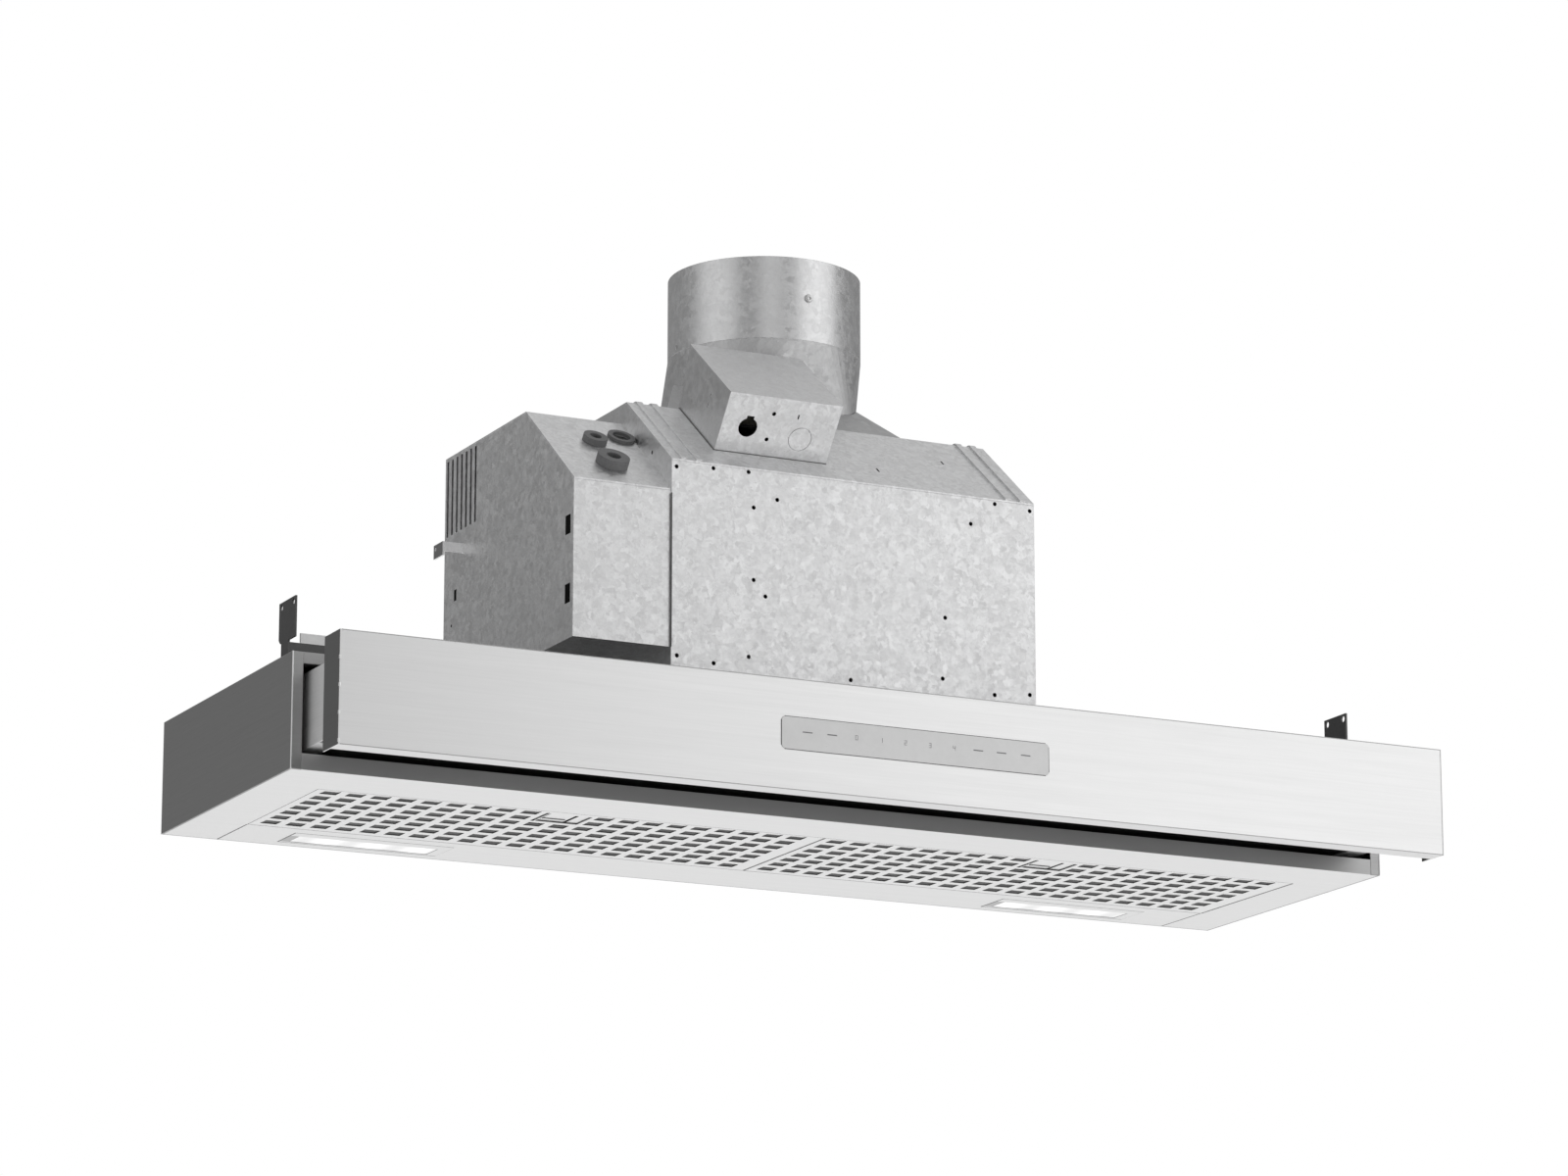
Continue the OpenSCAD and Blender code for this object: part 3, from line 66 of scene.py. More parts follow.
class Nodes:
    """A material's node tree, built by short calls."""

    def __init__(self, name, metallic=None):
        self.mat = bpy.data.materials.new(name)
        self.mat.use_nodes = True
        self.tree = self.mat.node_tree
        self.bsdf = next(n for n in self.tree.nodes if n.type == "BSDF_PRINCIPLED")
        self.coord = self.tree.nodes.new("ShaderNodeTexCoord")
        if metallic is not None:
            self.bsdf.inputs["Metallic"].default_value = metallic

    def new(self, kind, **values):
        node = self.tree.nodes.new(kind)
        for key, value in values.items():
            setattr(node, key, value)
        return node

    def link(self, a, b):
        self.tree.links.new(a, b)

    def mapped(self, scale):
        """Object coordinates, scaled per axis."""
        node = self.new("ShaderNodeMapping")
        node.inputs["Scale"].default_value = scale
        self.link(self.coord.outputs["Object"], node.inputs["Vector"])
        return node.outputs["Vector"]

    def noise(self, scale, detail, rough, distort=0.0):
        """A noise on scaled object coordinates."""
        node = self.new("ShaderNodeTexNoise")
        node.inputs["Scale"].default_value = 1.0
        node.inputs["Detail"].default_value = detail
        node.inputs["Roughness"].default_value = rough
        node.inputs["Distortion"].default_value = distort
        self.link(self.mapped(scale), node.inputs["Vector"])
        return node.outputs["Fac"]

    def cells(self, scale, warp, amount):
        """Voronoi cells whose borders are bent by a warp colour."""
        add = self.new("ShaderNodeVectorMath", operation="MULTIPLY_ADD")
        self.link(warp, add.inputs[0])
        add.inputs[1].default_value = (amount,) * 3
        self.link(self.mapped((scale,) * 3), add.inputs[2])
        node = self.new("ShaderNodeTexVoronoi", feature="F1")
        node.inputs["Scale"].default_value = 1.0
        self.link(add.outputs["Vector"], node.inputs["Vector"])
        return node

    def channel(self, color, which):
        """One channel of a colour output."""
        node = self.new("ShaderNodeSeparateColor")
        self.link(color, node.inputs["Color"])
        return node.outputs[which]

    def ramp(self, value, low, high):
        """Maps 0..1 to low..high, both grey levels or colours."""
        node = self.new("ShaderNodeMix", data_type="RGBA")
        node.inputs["A"].default_value = rgba(low)
        node.inputs["B"].default_value = rgba(high)
        self.link(value, node.inputs["Factor"])
        return node.outputs["Result"]

    def size_of(self, vector, axis):
        """The absolute value of one axis of a vector output."""
        split = self.new("ShaderNodeSeparateXYZ")
        self.link(vector, split.inputs[0])
        size = self.new("ShaderNodeMath", operation="ABSOLUTE")
        self.link(split.outputs[axis], size.inputs[0])
        return size.outputs[0]

    def light_and_shade_by_facing(self, color, other, axis="Z", turned=False):
        """Painted light and shade by face direction: the colour on faces square to an axis, the other tone
        on the rest; turned swaps the two.
        """
        slanted = 0.3
        square = 0.7
        low, high = (1.0, 0.0) if turned else (0.0, 1.0)
        node = self.new("ShaderNodeMix", data_type="RGBA")
        node.inputs["A"].default_value = rgba(other)
        self.link(color, node.inputs["B"])
        size = self.size_of(self.coord.outputs["Normal"], axis)
        self.link(self.span(size, slanted, square, low, high), node.inputs["Factor"])
        return node.outputs["Result"]

    def span(self, value, a, b, low, high):
        """Maps a..b to low..high."""
        node = self.new("ShaderNodeMapRange")
        node.inputs["From Min"].default_value = a
        node.inputs["From Max"].default_value = b
        node.inputs["To Min"].default_value = low
        node.inputs["To Max"].default_value = high
        self.link(value, node.inputs["Value"])
        return node.outputs["Result"]

    def gloss(self, value, rough, dull, shiny):
        """Roughness between two shares of its middle value."""
        return self.span(value, 0, 1, rough * dull, rough * shiny)

    def stretched(self, value):
        """The middle part of a noise, spread to 0..1."""
        return self.span(value, 0.3, 0.7, 0.0, 1.0)

    def add(self, a, b, share=0.5):
        """A mix of two values, with the share of the second."""
        node = self.new("ShaderNodeMix", data_type="FLOAT")
        node.inputs["Factor"].default_value = share
        self.link(a, node.inputs["A"])
        self.link(b, node.inputs["B"])
        return node.outputs["Result"]

    def finish(self, color, rough, height, depth, strength, edge=0.0):
        """Links colour and roughness, and bends the normal by a height and a rounded edge."""
        self.link(color, self.bsdf.inputs["Base Color"])
        self.link(rough, self.bsdf.inputs["Roughness"])
        bump = self.new("ShaderNodeBump")
        bump.inputs["Distance"].default_value = depth
        bump.inputs["Strength"].default_value = strength
        self.link(height, bump.inputs["Height"])
        if edge:
            bevel = self.new("ShaderNodeBevel", samples=6)
            bevel.inputs["Radius"].default_value = edge
            self.link(bevel.outputs["Normal"], bump.inputs["Normal"])
        self.link(bump.outputs["Normal"], self.bsdf.inputs["Normal"])
        return self.mat


# kinds of material; scales are per metre, edge is the radius of a rounded edge in metres

def brushed(name, tone, rough, along=(25, 25, 700), amount=0.05, edge=0.0004, other=None, axis="Z",
            turned=False):
    """Brushed steel: fine streaks along the axes with the small scale numbers."""
    wide_scale = 0.22
    wide_share = 0.4
    n = Nodes(name, 1.0)
    fine = n.noise(along, detail=4.0, rough=0.6)
    wide = n.noise(tuple(v * wide_scale for v in along), detail=2.0, rough=0.5)
    streak = n.stretched(n.add(fine, wide, wide_share))
    color = n.ramp(streak, tone * (1 - amount), min(1.0, tone * (1 + amount)))
    # painted light and shade: when other is given, a face's tone is set by its direction
    if other is not None:
        color = n.light_and_shade_by_facing(color, other, axis, turned)
    gloss = n.gloss(streak, rough, dull=1.12, shiny=0.9)
    return n.finish(color, gloss, streak, depth=0.0001, strength=0.12, edge=edge)


def galvanised(name, tone=0.69, rough=0.42, amount=0.095, edge=0.0005):
    """Hot-dip zinc: small mottled crystals, each with its own tone and tilt."""
    warp_scale = 170.0
    big_scale = 230
    big_warp = 3.0
    small_scale = 480
    small_warp = 2.2
    small_share = 0.42
    cloud_scale = (9, 9, 9)
    cloud_share = 0.12
    tint = (1, 1, 1.005), (1, 1.004, 1.01)
    n = Nodes(name, 1.0)
    warp = n.new("ShaderNodeTexNoise")
    warp.inputs["Scale"].default_value = warp_scale
    warp.inputs["Detail"].default_value = 3.0
    n.link(n.coord.outputs["Object"], warp.inputs["Vector"])
    big = n.cells(big_scale, warp.outputs["Color"], big_warp).outputs["Color"]
    small = n.cells(small_scale, warp.outputs["Color"], small_warp).outputs["Color"]
    crystals = n.add(n.channel(big, "Red"), n.channel(small, "Green"), small_share)
    cloud = n.stretched(n.noise(cloud_scale, detail=3.0, rough=0.6, distort=0.4))
    mix = n.span(n.add(crystals, cloud, cloud_share), a=0.15, b=0.85, low=0.0, high=1.0)
    low = tuple(tone * (1 - amount) * c for c in tint[0])
    high = tuple(tone * (1 + amount) * c for c in tint[1])
    gloss = n.gloss(n.channel(big, "Green"), rough, dull=1.2, shiny=0.8)
    return n.finish(n.ramp(mix, low, high), gloss, mix, depth=0.0002, strength=0.16, edge=edge)


def plain_metal(name, tone, rough, amount=0.04, metallic=1.0, edge=0.0004, scale=180):
    """Zinc plate, paint or sheet: fine grain and a slight cloud."""
    cloud_scale = (14, 14, 14)
    n = Nodes(name, metallic)
    grain = n.noise((scale,) * 3, detail=4.0, rough=0.6)
    cloud = n.noise(cloud_scale, detail=2.0, rough=0.5)
    mix = n.stretched(n.add(grain, cloud))
    low, high = spread((tone,) * 3, amount)
    gloss = n.gloss(mix, rough, dull=1.15, shiny=0.88)
    return n.finish(n.ramp(mix, low, high), gloss, grain, depth=0.0001, strength=0.15, edge=edge)


def plastic(name, color, rough, amount=0.08, scale=900, edge=0.0004):
    """Plastic, rubber or print: fine grain and a slight cloud."""
    cloud_scale = (20, 20, 20)
    cloud_share = 0.4
    n = Nodes(name, 0.0)
    grain = n.noise((scale,) * 3, detail=3.0, rough=0.6)
    cloud = n.noise(cloud_scale, detail=2.0, rough=0.5)
    mix = n.stretched(n.add(grain, cloud, cloud_share))
    low, high = spread(color, amount)
    gloss = n.gloss(mix, rough, dull=1.1, shiny=0.9)
    return n.finish(n.ramp(mix, low, high), gloss, grain, depth=0.00015, strength=0.2, edge=edge)


def frosted(name):
    """The light window: a milky sheet with sides painted grey as shade, and soft bright places over the
    chips.
    """
    chip_pitch = 37.2 * MM
    middle_chip_x = 258 * MM
    dim = 0.02
    bright = 0.3
    side_shade = 0.2
    n = Nodes(name, 0.0)
    n.bsdf.inputs["IOR"].default_value = 1.49
    n.bsdf.inputs["Emission Color"].default_value = (1, 1, 1, 1)
    grain = n.noise((600, 600, 600), detail=3.0, rough=0.5)
    cloud = n.noise((22, 60, 22), detail=2.0, rough=0.5)
    mix = n.stretched(n.add(grain, cloud, share=0.7))
    turn = n.new("ShaderNodeMath", operation="MULTIPLY_ADD")
    turn.inputs[1].default_value = math.tau / chip_pitch
    turn.inputs[2].default_value = -math.tau * middle_chip_x / chip_pitch
    n.link(n.size_of(n.coord.outputs["Object"], "X"), turn.inputs[0])
    wave = n.new("ShaderNodeMath", operation="COSINE")
    n.link(turn.outputs[0], wave.inputs[0])
    n.link(n.span(wave.outputs[0], -1, 1, dim, bright), n.bsdf.inputs["Emission Strength"])
    # painted shade: the window's side faces take the dark side tone
    color = n.light_and_shade_by_facing(n.ramp(mix, low=0.8, high=0.9), side_shade)
    gloss = n.span(mix, 0, 1, low=0.5, high=0.35)
    return n.finish(color, gloss, grain, depth=0.0001, strength=0.1)


def board(name, color):
    """A circuit board: solder mask with a faint grid of tracks."""
    dark = 0.75
    light = 1.35
    n = Nodes(name, 0.0)
    tracks = n.new("ShaderNodeTexBrick")
    tracks.inputs["Scale"].default_value = 90.0
    tracks.inputs["Mortar Size"].default_value = 0.03
    n.link(n.mapped((1, 1, 1)), tracks.inputs["Vector"])
    grain = n.noise((300, 300, 300), detail=3.0, rough=0.5)
    mix = n.add(tracks.outputs["Fac"], grain)
    low = [c * dark for c in color]
    high = [min(1, c * light) for c in color]
    gloss = n.span(grain, 0, 1, low=0.5, high=0.35)
    return n.finish(n.ramp(mix, low, high), gloss, mix, depth=0.0002, strength=0.2)


def painted_slit_shade(name):
    """Painted shade for the inside of a slit: near black, without gloss."""
    mat = plastic(name, (0.006, 0.006, 0.006), 0.9)
    mat.node_tree.nodes["Principled BSDF"].inputs["Specular IOR Level"].default_value = 0.04
    return mat


# scales of the brushing: streaks run the way of the small numbers, along x on every large face
ALONG_PANEL = (14, 14, 620)
ALONG_DRAWER = (25, 25, 500)
ACROSS_UNDERSIDE = (30, 500, 500)
EVEN_GRAIN = (300, 300, 300)

# the look of each material slot of the record
MATERIALS = {
    # body_steel: the same stainless at a low tone, painted shade on the body's sides
    "body_steel": brushed("body_steel", 0.37, 0.36, edge=0.0011),
    # front_steel: faces square to X, the panel's sides, take a dark tone as painted shade
    "front_steel": brushed("front_steel", 0.77, 0.36, ALONG_PANEL, amount=0.03, edge=0.0006,
                           other=0.22, axis="X", turned=True),
    # underside_steel: faces off the underside, the walls of slots and recesses, take a darker tone as
    # painted shade
    "underside_steel": brushed("underside_steel", 0.8, 0.42, ACROSS_UNDERSIDE, amount=0.02,
                               edge=0.0005, other=0.42),
    # filter_steel: the walls of the filter slots take a near-black tone as painted shade
    "filter_steel": brushed("filter_steel", 0.82, 0.42, ACROSS_UNDERSIDE, amount=0.02, edge=0.0,
                            other=0.12),
    "filter_aluminium": plain_metal("filter_aluminium", 0.7, 0.4),
    # filter_mesh: a real mesh whose near-black tone is painted shade inside the slots
    "filter_mesh": plain_metal("filter_mesh", 0.07, 0.6, amount=0.35, metallic=0.5, edge=0.0,
                               scale=700),
    "zinc_steel": plain_metal("zinc_steel", 0.66, 0.38),
    "slide_steel": plain_metal("slide_steel", 0.58, 0.28),
    "galvanised": galvanised("galvanised"),
    "collar_steel": galvanised("collar_steel", 0.68, 0.38, amount=0.03),
    "flap_aluminium": plain_metal("flap_aluminium", 0.6, 0.4),
    "dark_paint": plain_metal("dark_paint", 0.1, 0.42, amount=0.08, metallic=0.85),
    "motor_paint": plain_metal("motor_paint", 0.12, 0.5, amount=0.12, metallic=0.4),
    "black_plastic": plastic("black_plastic", (0.022, 0.022, 0.023), 0.45),
    "impeller_plastic": plastic("impeller_plastic", (0.28, 0.29, 0.3), 0.5),
    "terminal_plastic": plastic("terminal_plastic", (0.72, 0.7, 0.6), 0.5),
    "circuit_board": board("circuit_board", (0.05, 0.22, 0.09)),
    "light_board": board("light_board", (0.75, 0.75, 0.7)),
    "capacitor": plastic("capacitor", (0.7, 0.7, 0.7), 0.35, amount=0.04),
    "lens": frosted("lens"),
    "touch_plate": brushed("touch_plate", 0.53, 0.3, EVEN_GRAIN, amount=0.015, edge=0.0003),
    "grommet_rubber": plastic("grommet_rubber", (0.14, 0.14, 0.142), 0.65, amount=0.12, scale=500,
                              edge=0.0012),
}

# single nodes that look different from the rest of their slot
DRAWER_STEEL = brushed("drawer_steel", 0.72, 0.6, ALONG_DRAWER, amount=0.03)
OWN = {
    "duct_transition": galvanised("plain_zinc", 0.56, 0.5, amount=0.03),
    "duct_saddle": galvanised("dull_zinc", 0.44, 0.5, amount=0.03),
    # box_zinc_painted_shade: a darker copy of the zinc, painted shade on the junction box
    "junction_box": galvanised("box_zinc_painted_shade", 0.63, 0.42, amount=0.05),
    # tab_zinc_painted_light_and_shade: faces square to X dark and the rest near white, painted shade and
    # painted light on the bracket
    "side_bracket": brushed("tab_zinc_painted_light_and_shade", 0.3, 0.4, EVEN_GRAIN, amount=0.04, other=0.95, axis="X"),
    "drawer_walls": DRAWER_STEEL,
    "drawer_liner": DRAWER_STEEL,
}

# the trim's own materials
PRINT = plastic("print", (0.2, 0.2, 0.205), 0.5)
# dark lines at joints, and painted shade where strips stand for gaps and contact shadows
SEAM_AND_SHADE = plastic("seam", (0.13, 0.13, 0.13), 0.6)
# painted shade on the left end of each light window
SHADE = plain_metal("shade", 0.5, 0.5)
# a brighter metal for the beads and catches: partly a painted highlight
BEAD_HIGHLIGHT = plain_metal("bead_painted_highlight", 0.85, 0.3)
# painted shade along the panel's hems
HEM_SHADE = plain_metal("hem_painted_shade", 0.42, 0.4)
# painted shade inside the wiring box's slits and holes
PAINTED_SLIT_SHADE = painted_slit_shade("painted_slit_shade")

SLOTS = {row["node"]: row["material_slot"] for row in frame["record"]["subparts"]}
for name, obj in NODES.items():
    obj.data.materials.clear()
    obj.data.materials.append(OWN.get(name, MATERIALS[SLOTS[name]]))


# meshes

def piece(name, bm, body, slot, material=None, smooth=0):
    """A new piece of trim that rides on a body; smooth is an angle in degrees, or 0 for flat faces."""
    mesh = bpy.data.meshes.new(name)
    bm.normal_update()
    bm.to_mesh(mesh)
    bm.free()
    if smooth:
        for poly in mesh.polygons:
            poly.use_smooth = True
        mesh.set_sharp_from_angle(angle=math.radians(smooth))
    obj = bpy.data.objects.new(name, mesh)
    scene.collection.objects.link(obj)
    obj.data.materials.append(material or MATERIALS[slot])
    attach(obj, body)


def lathe(bm, profile, matrix, steps):
    """Spins (radius, height) pairs round local Z and places them by the matrix."""
    point = 0.0001 * MM
    rings = []
    for r, z in profile:
        if r < point:
            rings.append([bm.verts.new(matrix @ Vector((0, 0, z)))])
        else:
            turns = [math.tau * i / steps for i in range(steps)]
            rings.append([bm.verts.new(matrix @ Vector((r * math.cos(a), r * math.sin(a), z)))
                          for a in turns])
    for a, b in zip(rings, rings[1:]):
        for i in range(steps):
            j = (i + 1) % steps
            if len(a) == 1 and len(b) == 1:
                continue
            if len(a) == 1:
                bm.faces.new((a[0], b[i], b[j]))
            elif len(b) == 1:
                bm.faces.new((a[i], b[0], a[j]))
            else:
                bm.faces.new((a[i], b[i], b[j], a[j]))


def slab(bm, low, high, matrix=Matrix.Identity(4), bevel=0.0):
    """A box between two corners, placed by the matrix."""
    verts = [bm.verts.new(matrix @ Vector((x, y, z)))
             for x in (low[0], high[0]) for y in (low[1], high[1]) for z in (low[2], high[2])]
    faces = [(0, 1, 3, 2), (4, 6, 7, 5), (0, 4, 5, 1), (2, 3, 7, 6), (0, 2, 6, 4), (1, 5, 7, 3)]
    made = [bm.faces.new([verts[i] for i in f]) for f in faces]
    if bevel:
        edges = list({e for f in made for e in f.edges})
        bmesh.ops.bevel(bm, geom=edges, offset=bevel, segments=2, affect="EDGES", profile=0.5)


def aim(point, direction):
    """A matrix whose local Z points along the direction."""
    z = Vector(direction).normalized()
    return Matrix.Translation(Vector(point)) @ z.to_track_quat("Z", "Y").to_matrix().to_4x4()


# shares of a screw head's radius and height, from its seat over the rim down into the recess
SCREW_PROFILE = ((1.0, 0), (1.0, 0.35), (0.85, 0.8), (0.5, 1), (0.42, 0.98), (0.36, 0.4), (0, 0.4))


def screw(bm, point, direction, r, h):
    lathe(bm, [(r * a, h * b) for a, b in SCREW_PROFILE], aim(point, direction), steps=24)


# camera and floor

def make_camera():
    """The camera, as fitted to the photograph."""
    data = bpy.data.cameras.new("camera")
    obj = bpy.data.objects.new("camera", data)
    scene.collection.objects.link(obj)
    obj.location = (-1.8818, -3.9595, -0.8391)
    obj.rotation_euler = (math.radians(103.8403), 0, math.radians(-26.2104))
    data.sensor_width = 36
    data.lens = 129.783
    data.clip_end = 100
    scene.camera = obj


def make_floor():
    """A wide pale slab below the hood."""
    half = 14
    top = -1.4
    thick = 0.02
    bm = bmesh.new()
    slab(bm, (-half, -half, top - thick), (half, half, top))
    mesh = bpy.data.meshes.new("floor")
    bm.normal_update()
    bm.to_mesh(mesh)
    bm.free()
    floor = bpy.data.objects.new("floor", mesh)
    scene.collection.objects.link(floor)
    n = Nodes("floor_white")
    n.bsdf.inputs["Roughness"].default_value = 0.9
    cloud = n.noise((0.6, 0.6, 0.6), detail=2.0, rough=0.5)
    n.link(n.ramp(cloud, 0.86, 0.89), n.bsdf.inputs["Base Color"])
    floor.data.materials.append(n.mat)


make_camera()
make_floor()

# grey levels of the sky by height, from straight down at 0 to straight up at 1
SKY_LEVELS = ((0.0, 0.5), (1.0, 0.85), (0.5, 0.2), (0.62, 0.15), (0.89, 0.62))
# the share of the white background that metal sees
GLOSSY_SHARE = 0.1


def make_world():
    """White behind the object, a soft sky for everything else."""
    data = bpy.data.worlds.new("world")
    scene.world = data
    data.use_nodes = True
    tree = data.node_tree
    tree.nodes.clear()
    coord = tree.nodes.new("ShaderNodeTexCoord")
    split = tree.nodes.new("ShaderNodeSeparateXYZ")
    tree.links.new(coord.outputs["Generated"], split.inputs[0])
    height = tree.nodes.new("ShaderNodeMath")
    height.operation = "MULTIPLY_ADD"
    height.inputs[1].default_value = 0.5
    height.inputs[2].default_value = 0.5
    tree.links.new(split.outputs["Z"], height.inputs[0])
    ramp = tree.nodes.new("ShaderNodeValToRGB")
    elements = ramp.color_ramp.elements
    for i, (position, level) in enumerate(SKY_LEVELS):
        element = elements[i] if i < 2 else elements.new(position)
        element.position = position
        element.color = (level, level, level, 1)
    tree.links.new(height.outputs[0], ramp.inputs["Fac"])
    sky = tree.nodes.new("ShaderNodeBackground")
    tree.links.new(ramp.outputs["Color"], sky.inputs["Color"])
    white = tree.nodes.new("ShaderNodeBackground")
    white.inputs["Color"].default_value = (1, 1, 1, 1)
    path = tree.nodes.new("ShaderNodeLightPath")
    glossy = tree.nodes.new("ShaderNodeMath")
    glossy.operation = "MULTIPLY_ADD"
    glossy.inputs[1].default_value = GLOSSY_SHARE
    tree.links.new(path.outputs["Is Glossy Ray"], glossy.inputs[0])
    tree.links.new(path.outputs["Is Camera Ray"], glossy.inputs[2])
    seen = tree.nodes.new("ShaderNodeMath")
    seen.operation = "ADD"
    seen.use_clamp = True
    tree.links.new(glossy.outputs[0], seen.inputs[0])
    tree.links.new(path.outputs["Is Transmission Ray"], seen.inputs[1])
    mix = tree.nodes.new("ShaderNodeMixShader")
    tree.links.new(seen.outputs[0], mix.inputs[0])
    tree.links.new(sky.outputs[0], mix.inputs[1])
    tree.links.new(white.outputs[0], mix.inputs[2])
    out = tree.nodes.new("ShaderNodeOutputWorld")
    tree.links.new(mix.outputs[0], out.inputs["Surface"])


def softbox(name, azimuth, elevation, distance, width, height, radiance, back=None):
    """An area lamp aimed at the hood, or with its back the given way; azimuth 0 is the front, 90 is +X."""
    middle = Vector((0, -0.1, 0.15))
    a = math.radians(azimuth)
    e = math.radians(elevation)
    away = Vector((math.sin(a) * math.cos(e), -math.cos(a) * math.cos(e), math.sin(e))) * distance
    data = bpy.data.lights.new(name, "AREA")
    data.shape = "RECTANGLE"
    data.size = width
    data.size_y = height
    data.energy = radiance * math.pi * width * height
    obj = bpy.data.objects.new(name, data)
    scene.collection.objects.link(obj)
    obj.location = away + middle
    obj.rotation_euler = Vector(back or away).to_track_quat("Z", "Y").to_euler()
    obj.visible_camera = False


make_world()
softbox("right_front", azimuth=40, elevation=16, distance=4.2, width=3.6, height=3.6, radiance=0.95)
softbox("left", azimuth=-84, elevation=12, distance=4.0, width=3.4, height=3.2, radiance=0.58)
softbox("fill", azimuth=-18, elevation=12, distance=4.4, width=1.6, height=3.0, radiance=0.55)
softbox("under", azimuth=60, elevation=-70, distance=1.6, width=12.0, height=12.0, radiance=0.48,
        back=(0, 0, -1))


# trim

def collar_screw():
    """The one screw that shows on the round collar."""
    point = (1.4 * MM, -177.2 * MM, 434.2 * MM)
    outwards = (0.02, -1, 0)
    bm = bmesh.new()
    screw(bm, point, outwards, 3.3 * MM, 1.8 * MM)
    piece("collar_screw", bm, "hood", "slide_steel", smooth=ROUND)


# ends of each stroke in half digit widths and heights, and the strokes of each digit
STROKES = {"top": (0, 2, 1, 2), "middle": (0, 1, 1, 1), "bottom": (0, 0, 1, 0),
           "upper_left": (0, 1, 0, 2), "upper_right": (1, 1, 1, 2),
           "lower_left": (0, 0, 0, 1), "lower_right": (1, 0, 1, 1)}
DIGITS = ("top bottom upper_left upper_right lower_left lower_right",
          "upper_right lower_right",
          "top middle bottom upper_right lower_left",
          "top middle bottom upper_right lower_right",
          "middle upper_left upper_right lower_right")


def printed_marks():
    """Plain numbers for the fan steps and a short bar at each other touch field."""
    digit_at = (-49.5, -29.2, -9.2, 11.1, 31.2)
    bar_at = (-89.6, -69.5, 51.3, 70.8, 91.1)
    row_z = 43.6 * MM
    thick = 0.04 * MM
    digit_w = 1.7 * MM
    digit_h = 1.6 * MM
    line = 0.32 * MM
    bar_w = 8 * MM
    bar_h = 0.9 * MM
    low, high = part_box("touch_plate")
    front = low[1]
    bm = bmesh.new()
    for strokes, x in zip(DIGITS, digit_at):
        for stroke in strokes.split():
            x0, z0, x1, z1 = STROKES[stroke]
            left = x * MM + (x0 - 0.5) * digit_w
            right = x * MM + (x1 - 0.5) * digit_w
            foot = row_z + (z0 - 1) * digit_h
            head = row_z + (z1 - 1) * digit_h
            slab(bm, (left - line / 2, front - thick, foot - line / 2),
                 (right + line / 2, front + thick, head + line / 2))
    for x in bar_at:
        slab(bm, (x * MM - bar_w / 2, front - thick, row_z - bar_h / 2),
             (x * MM + bar_w / 2, front + thick, row_z + bar_h / 2))
    piece("touch_marks", bm, "drawer", "touch_plate", PRINT)


def panel_ticks():
    """Small catches on the left front edge of the panel, their bright tone a painted highlight."""
    heights = (3, 23, 43, 63)
    size = 1.3 * MM
    proud = 0.15 * MM
    low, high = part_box("drawer_panel")
    bm = bmesh.new()
    for z in heights:
        slab(bm, (low[0] - proud, low[1] - proud, z * MM - size),
             (low[0] + size, low[1] + size, z * MM + size), bevel=0.1 * MM)
    piece("panel_ticks", bm, "drawer", "front_steel", BEAD_HIGHLIGHT, smooth=ROUND)


WINDOW_W = 130 * MM


def underside_seams():
    """Dark lines where the rear strip meets the frame, beside the filters and round the windows."""
    line = 1.2 * MM
    wide = 1.8 * MM
    fine = 0.7 * MM
    proud = 0.05 * MM
    low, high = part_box("light_strip")
    z0 = low[2] - proud
    z1 = low[2] + proud
    bm = bmesh.new()
    for x in (low[0], high[0]):
        slab(bm, (x - line / 2, low[1], z0), (x + line / 2, high[1], z1))
    for node in ("left_filter_face", "right_filter_face"):
        face_low, face_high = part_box(node)
        slab(bm, (face_high[0], face_low[1], face_low[2] - proud),
             (face_high[0] + wide, face_high[1], face_low[2] + proud))
    lens_low, lens_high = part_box("light_lenses")
    for x0 in (lens_low[0], lens_high[0] - WINDOW_W):
        slab(bm, (x0, lens_low[1], z0), (x0 + line, lens_high[1], z1))
        for y in (lens_low[1], lens_high[1] - fine):
            slab(bm, (x0 + line, y, z0), (x0 + WINDOW_W, y + fine, z1))
    piece("underside_seams", bm, "hood", "underside_steel", SEAM_AND_SHADE)


def light_frame(side):
    """The frame round a light window; the window sits further from the front than from the wall. The left
    end is a separate darker piece, painted shade.
    """
    end_in = 8.4 * MM
    front_in = 12 * MM
    back_in = 3.2 * MM
    gap = 0.15 * MM
    top = 0.45 * MM
    low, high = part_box("light_lenses")
    x0 = low[0] if side == "left" else high[0] - WINDOW_W
    x1 = x0 + WINDOW_W
    y0 = low[1]
    y1 = high[1]
    bm = bmesh.new()
    slab(bm, (x0 + gap, y0 + gap, 0), (x1 - gap, y0 + front_in, top))
    slab(bm, (x1 - end_in, y0 + front_in, 0), (x1 - gap, y1 - gap, top))
    slab(bm, (x0 + gap, y1 - back_in, 0), (x1 - end_in, y1 - gap, top))
    piece(side + "_light_frame", bm, "hood", "underside_steel")
    # the window's left end, painted shade
    bm = bmesh.new()
    slab(bm, (x0 + gap, y0 + front_in, 0), (x0 + end_in, y1 - back_in, top))
    piece(side + "_light_end", bm, "hood", "underside_steel", SHADE)


def corner_beads():
    """Rounded hems on the upright front corners of the body, which catch the light; their brighter tone is
    partly a painted highlight.
    """
    r = 0.55 * MM
    low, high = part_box("body_sides")
    h = high[2] - low[2]
    bm = bmesh.new()
    for x in (low[0] + r, high[0] - r):
        lathe(bm, [(0, 0), (r, 0), (r, h), (0, h)], Matrix.Translation((x, low[1], low[2])), steps=16)
    piece("corner_beads", bm, "hood", "front_steel", BEAD_HIGHLIGHT, smooth=ROUND)


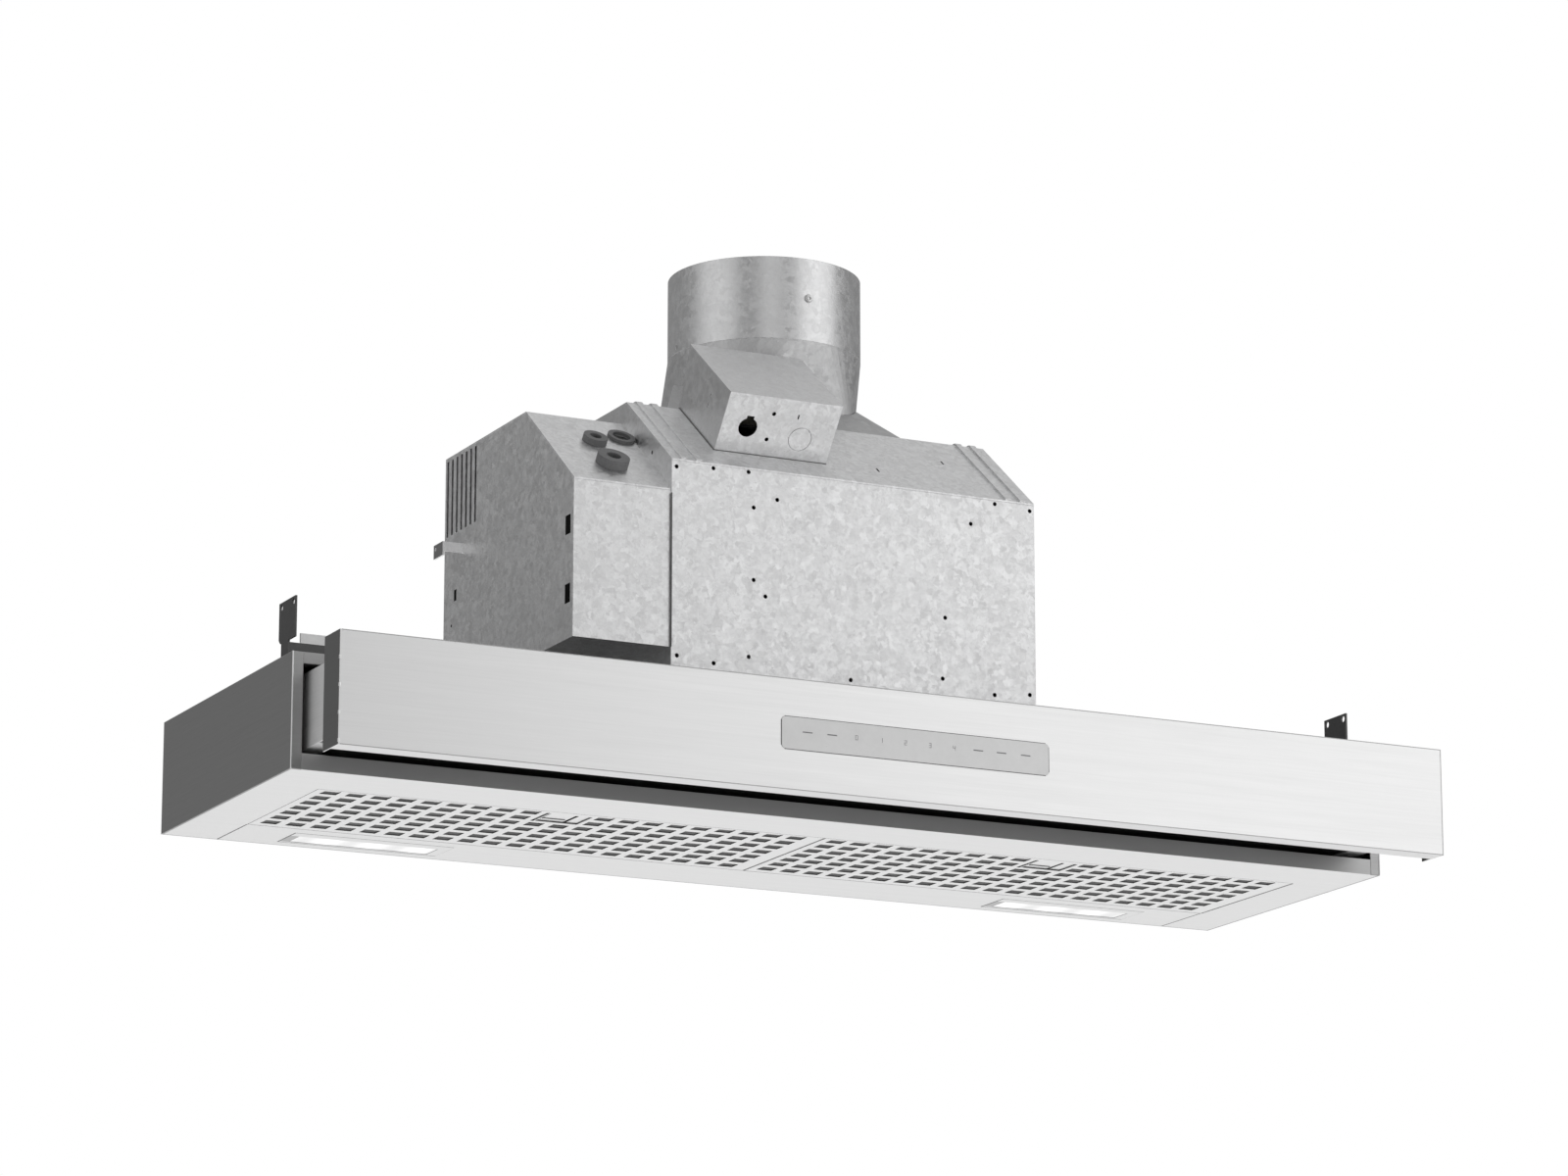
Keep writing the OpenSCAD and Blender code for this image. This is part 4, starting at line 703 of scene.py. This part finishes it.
def touch_seam_and_shade():
    """Dark line in the gap round the flush touch plate: partly the joint, partly painted shade."""
    line = 0.45 * MM
    corner = 2.5 * MM
    depth = 0.25 * MM
    thick = 0.2 * MM
    low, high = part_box("touch_plate")
    y0 = low[1] + depth - thick
    y1 = low[1] + depth + thick
    bm = bmesh.new()
    for x in (low[0] - line, high[0]):
        slab(bm, (x, y0, low[2] + corner), (x + line, y1, high[2] - corner))
    for z in (low[2] - line, high[2]):
        slab(bm, (low[0] + corner, y0, z), (high[0] - corner, y1, z + line))
    piece("touch_seam_and_shade", bm, "drawer", "touch_plate", SEAM_AND_SHADE)


def cover_step_shade():
    """Painted shade: a dark strip along the joint between the wiring cover and the housing's side, where
    shadow falls.
    """
    line = 2.2 * MM
    inner = 0.3 * MM
    outer = 0.1 * MM
    low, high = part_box("wiring_cover")
    bm = bmesh.new()
    slab(bm, (high[0] - inner, low[1] - line, low[2]), (high[0] + outer, low[1], high[2] - line))
    piece("cover_step_shade", bm, "hood", "galvanised", SEAM_AND_SHADE)


def slit_shade():
    """Painted shade: dark fill of the slits, hook slots and small hole in the left side of the wiring box.
    """
    skin = 0.05 * MM
    deep = 0.9 * MM
    slit_in = 22.4 * MM
    slit_half = 2.2 * MM
    slit_z = (196.6 * MM, 205.5 * MM)
    hole_in = 15.6 * MM
    hole_z = 178 * MM
    hole_r = 1.1 * MM
    hook_in = 5.4 * MM
    hook_w = 8 * MM
    hook_h = 14.6 * MM
    hook_z = (148.3 * MM, 200.8 * MM)
    low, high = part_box("wiring_box")
    x0 = low[0] - skin
    x1 = low[0] + deep
    slit_y = high[1] - slit_in
    bm = bmesh.new()
    slab(bm, (x0, slit_y - slit_half, slit_z[0]), (x1, slit_y + slit_half, slit_z[1]))
    lathe(bm, [(0, 0), (hole_r, 0), (hole_r, x1 - x0), (0, x1 - x0)],
          aim((x0, high[1] - hole_in, hole_z), (1, 0, 0)), steps=16)
    for z in hook_z:
        slab(bm, (x0, low[1] + hook_in, z), (x1, low[1] + hook_in + hook_w, z + hook_h))
    piece("slit_shade", bm, "hood", "black_plastic", PAINTED_SLIT_SHADE)


def junction_contact_shadow():
    """Painted contact shadow: a dark strip where the junction box stands on the slope."""
    sheet_y = 0.8 * MM
    line = 1.0 * MM
    thick = 0.3 * MM
    under = 0.2 * MM
    side_run = 78 * MM
    slope = (0, -0.6157, 0.788)
    low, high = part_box("junction_cover")
    half_w = (high[0] - low[0]) / 2
    place = aim(((low[0] + high[0]) / 2, high[1] - sheet_y, low[2]), slope)
    bm = bmesh.new()
    slab(bm, (-half_w - line, -line, -thick), (half_w, under, thick), place)
    slab(bm, (-half_w - line, under, -thick), (-half_w, side_run, thick), place)
    piece("junction_contact_shadow", bm, "hood", "galvanised", SEAM_AND_SHADE)


def panel_edge_shade():
    """Painted shade along the hems: grey strips on the upper, right and lower edge of the panel's front.
    """
    line = 0.7 * MM
    proud = 0.03 * MM
    low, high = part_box("drawer_panel")
    left = low[0] + 2 * line
    y0 = low[1] - proud
    y1 = low[1] + proud
    bm = bmesh.new()
    slab(bm, (left, y0, high[2] - line), (high[0], y1, high[2]))
    slab(bm, (high[0] - line, y0, low[2] + line), (high[0], y1, high[2] - line))
    slab(bm, (left, y0, low[2]), (high[0], y1, low[2] + line))
    piece("panel_edge_shade", bm, "drawer", "front_steel", HEM_SHADE)


def sheet_screws():
    """Sheet-metal screws of the top, the back and the right side."""
    inset = 14 * MM
    r = 3.2 * MM
    h = 1.6 * MM
    back_h = 1.28 * MM
    gaps = 5
    bm = bmesh.new()
    low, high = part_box("body_top")
    for i in range(gaps + 1):
        x = low[0] + inset + (high[0] - low[0] - 2 * inset) * i / gaps
        screw(bm, (x, high[1] - inset, high[2]), (0, 0, 1), r, h)
    low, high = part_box("housing_back")
    for x in (low[0] + inset, (low[0] + high[0]) / 2, high[0] - inset):
        for z in (low[2] + inset, high[2] - inset):
            screw(bm, (x, high[1], z), (0, 1, 0), r, back_h)
    low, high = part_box("housing_sides")
    for y in (low[1] + 3 * inset, high[1] - 3 * inset):
        screw(bm, (high[0], y, low[2] + inset), (1, 0, 0), r, h)
    piece("sheet_screws", bm, "hood", "slide_steel", smooth=ROUND)


collar_screw()
printed_marks()
panel_ticks()
underside_seams()
for side in ("left", "right"):
    light_frame(side)
corner_beads()
touch_seam_and_shade()
cover_step_shade()
slit_shade()
junction_contact_shadow()
panel_edge_shade()
sheet_screws()
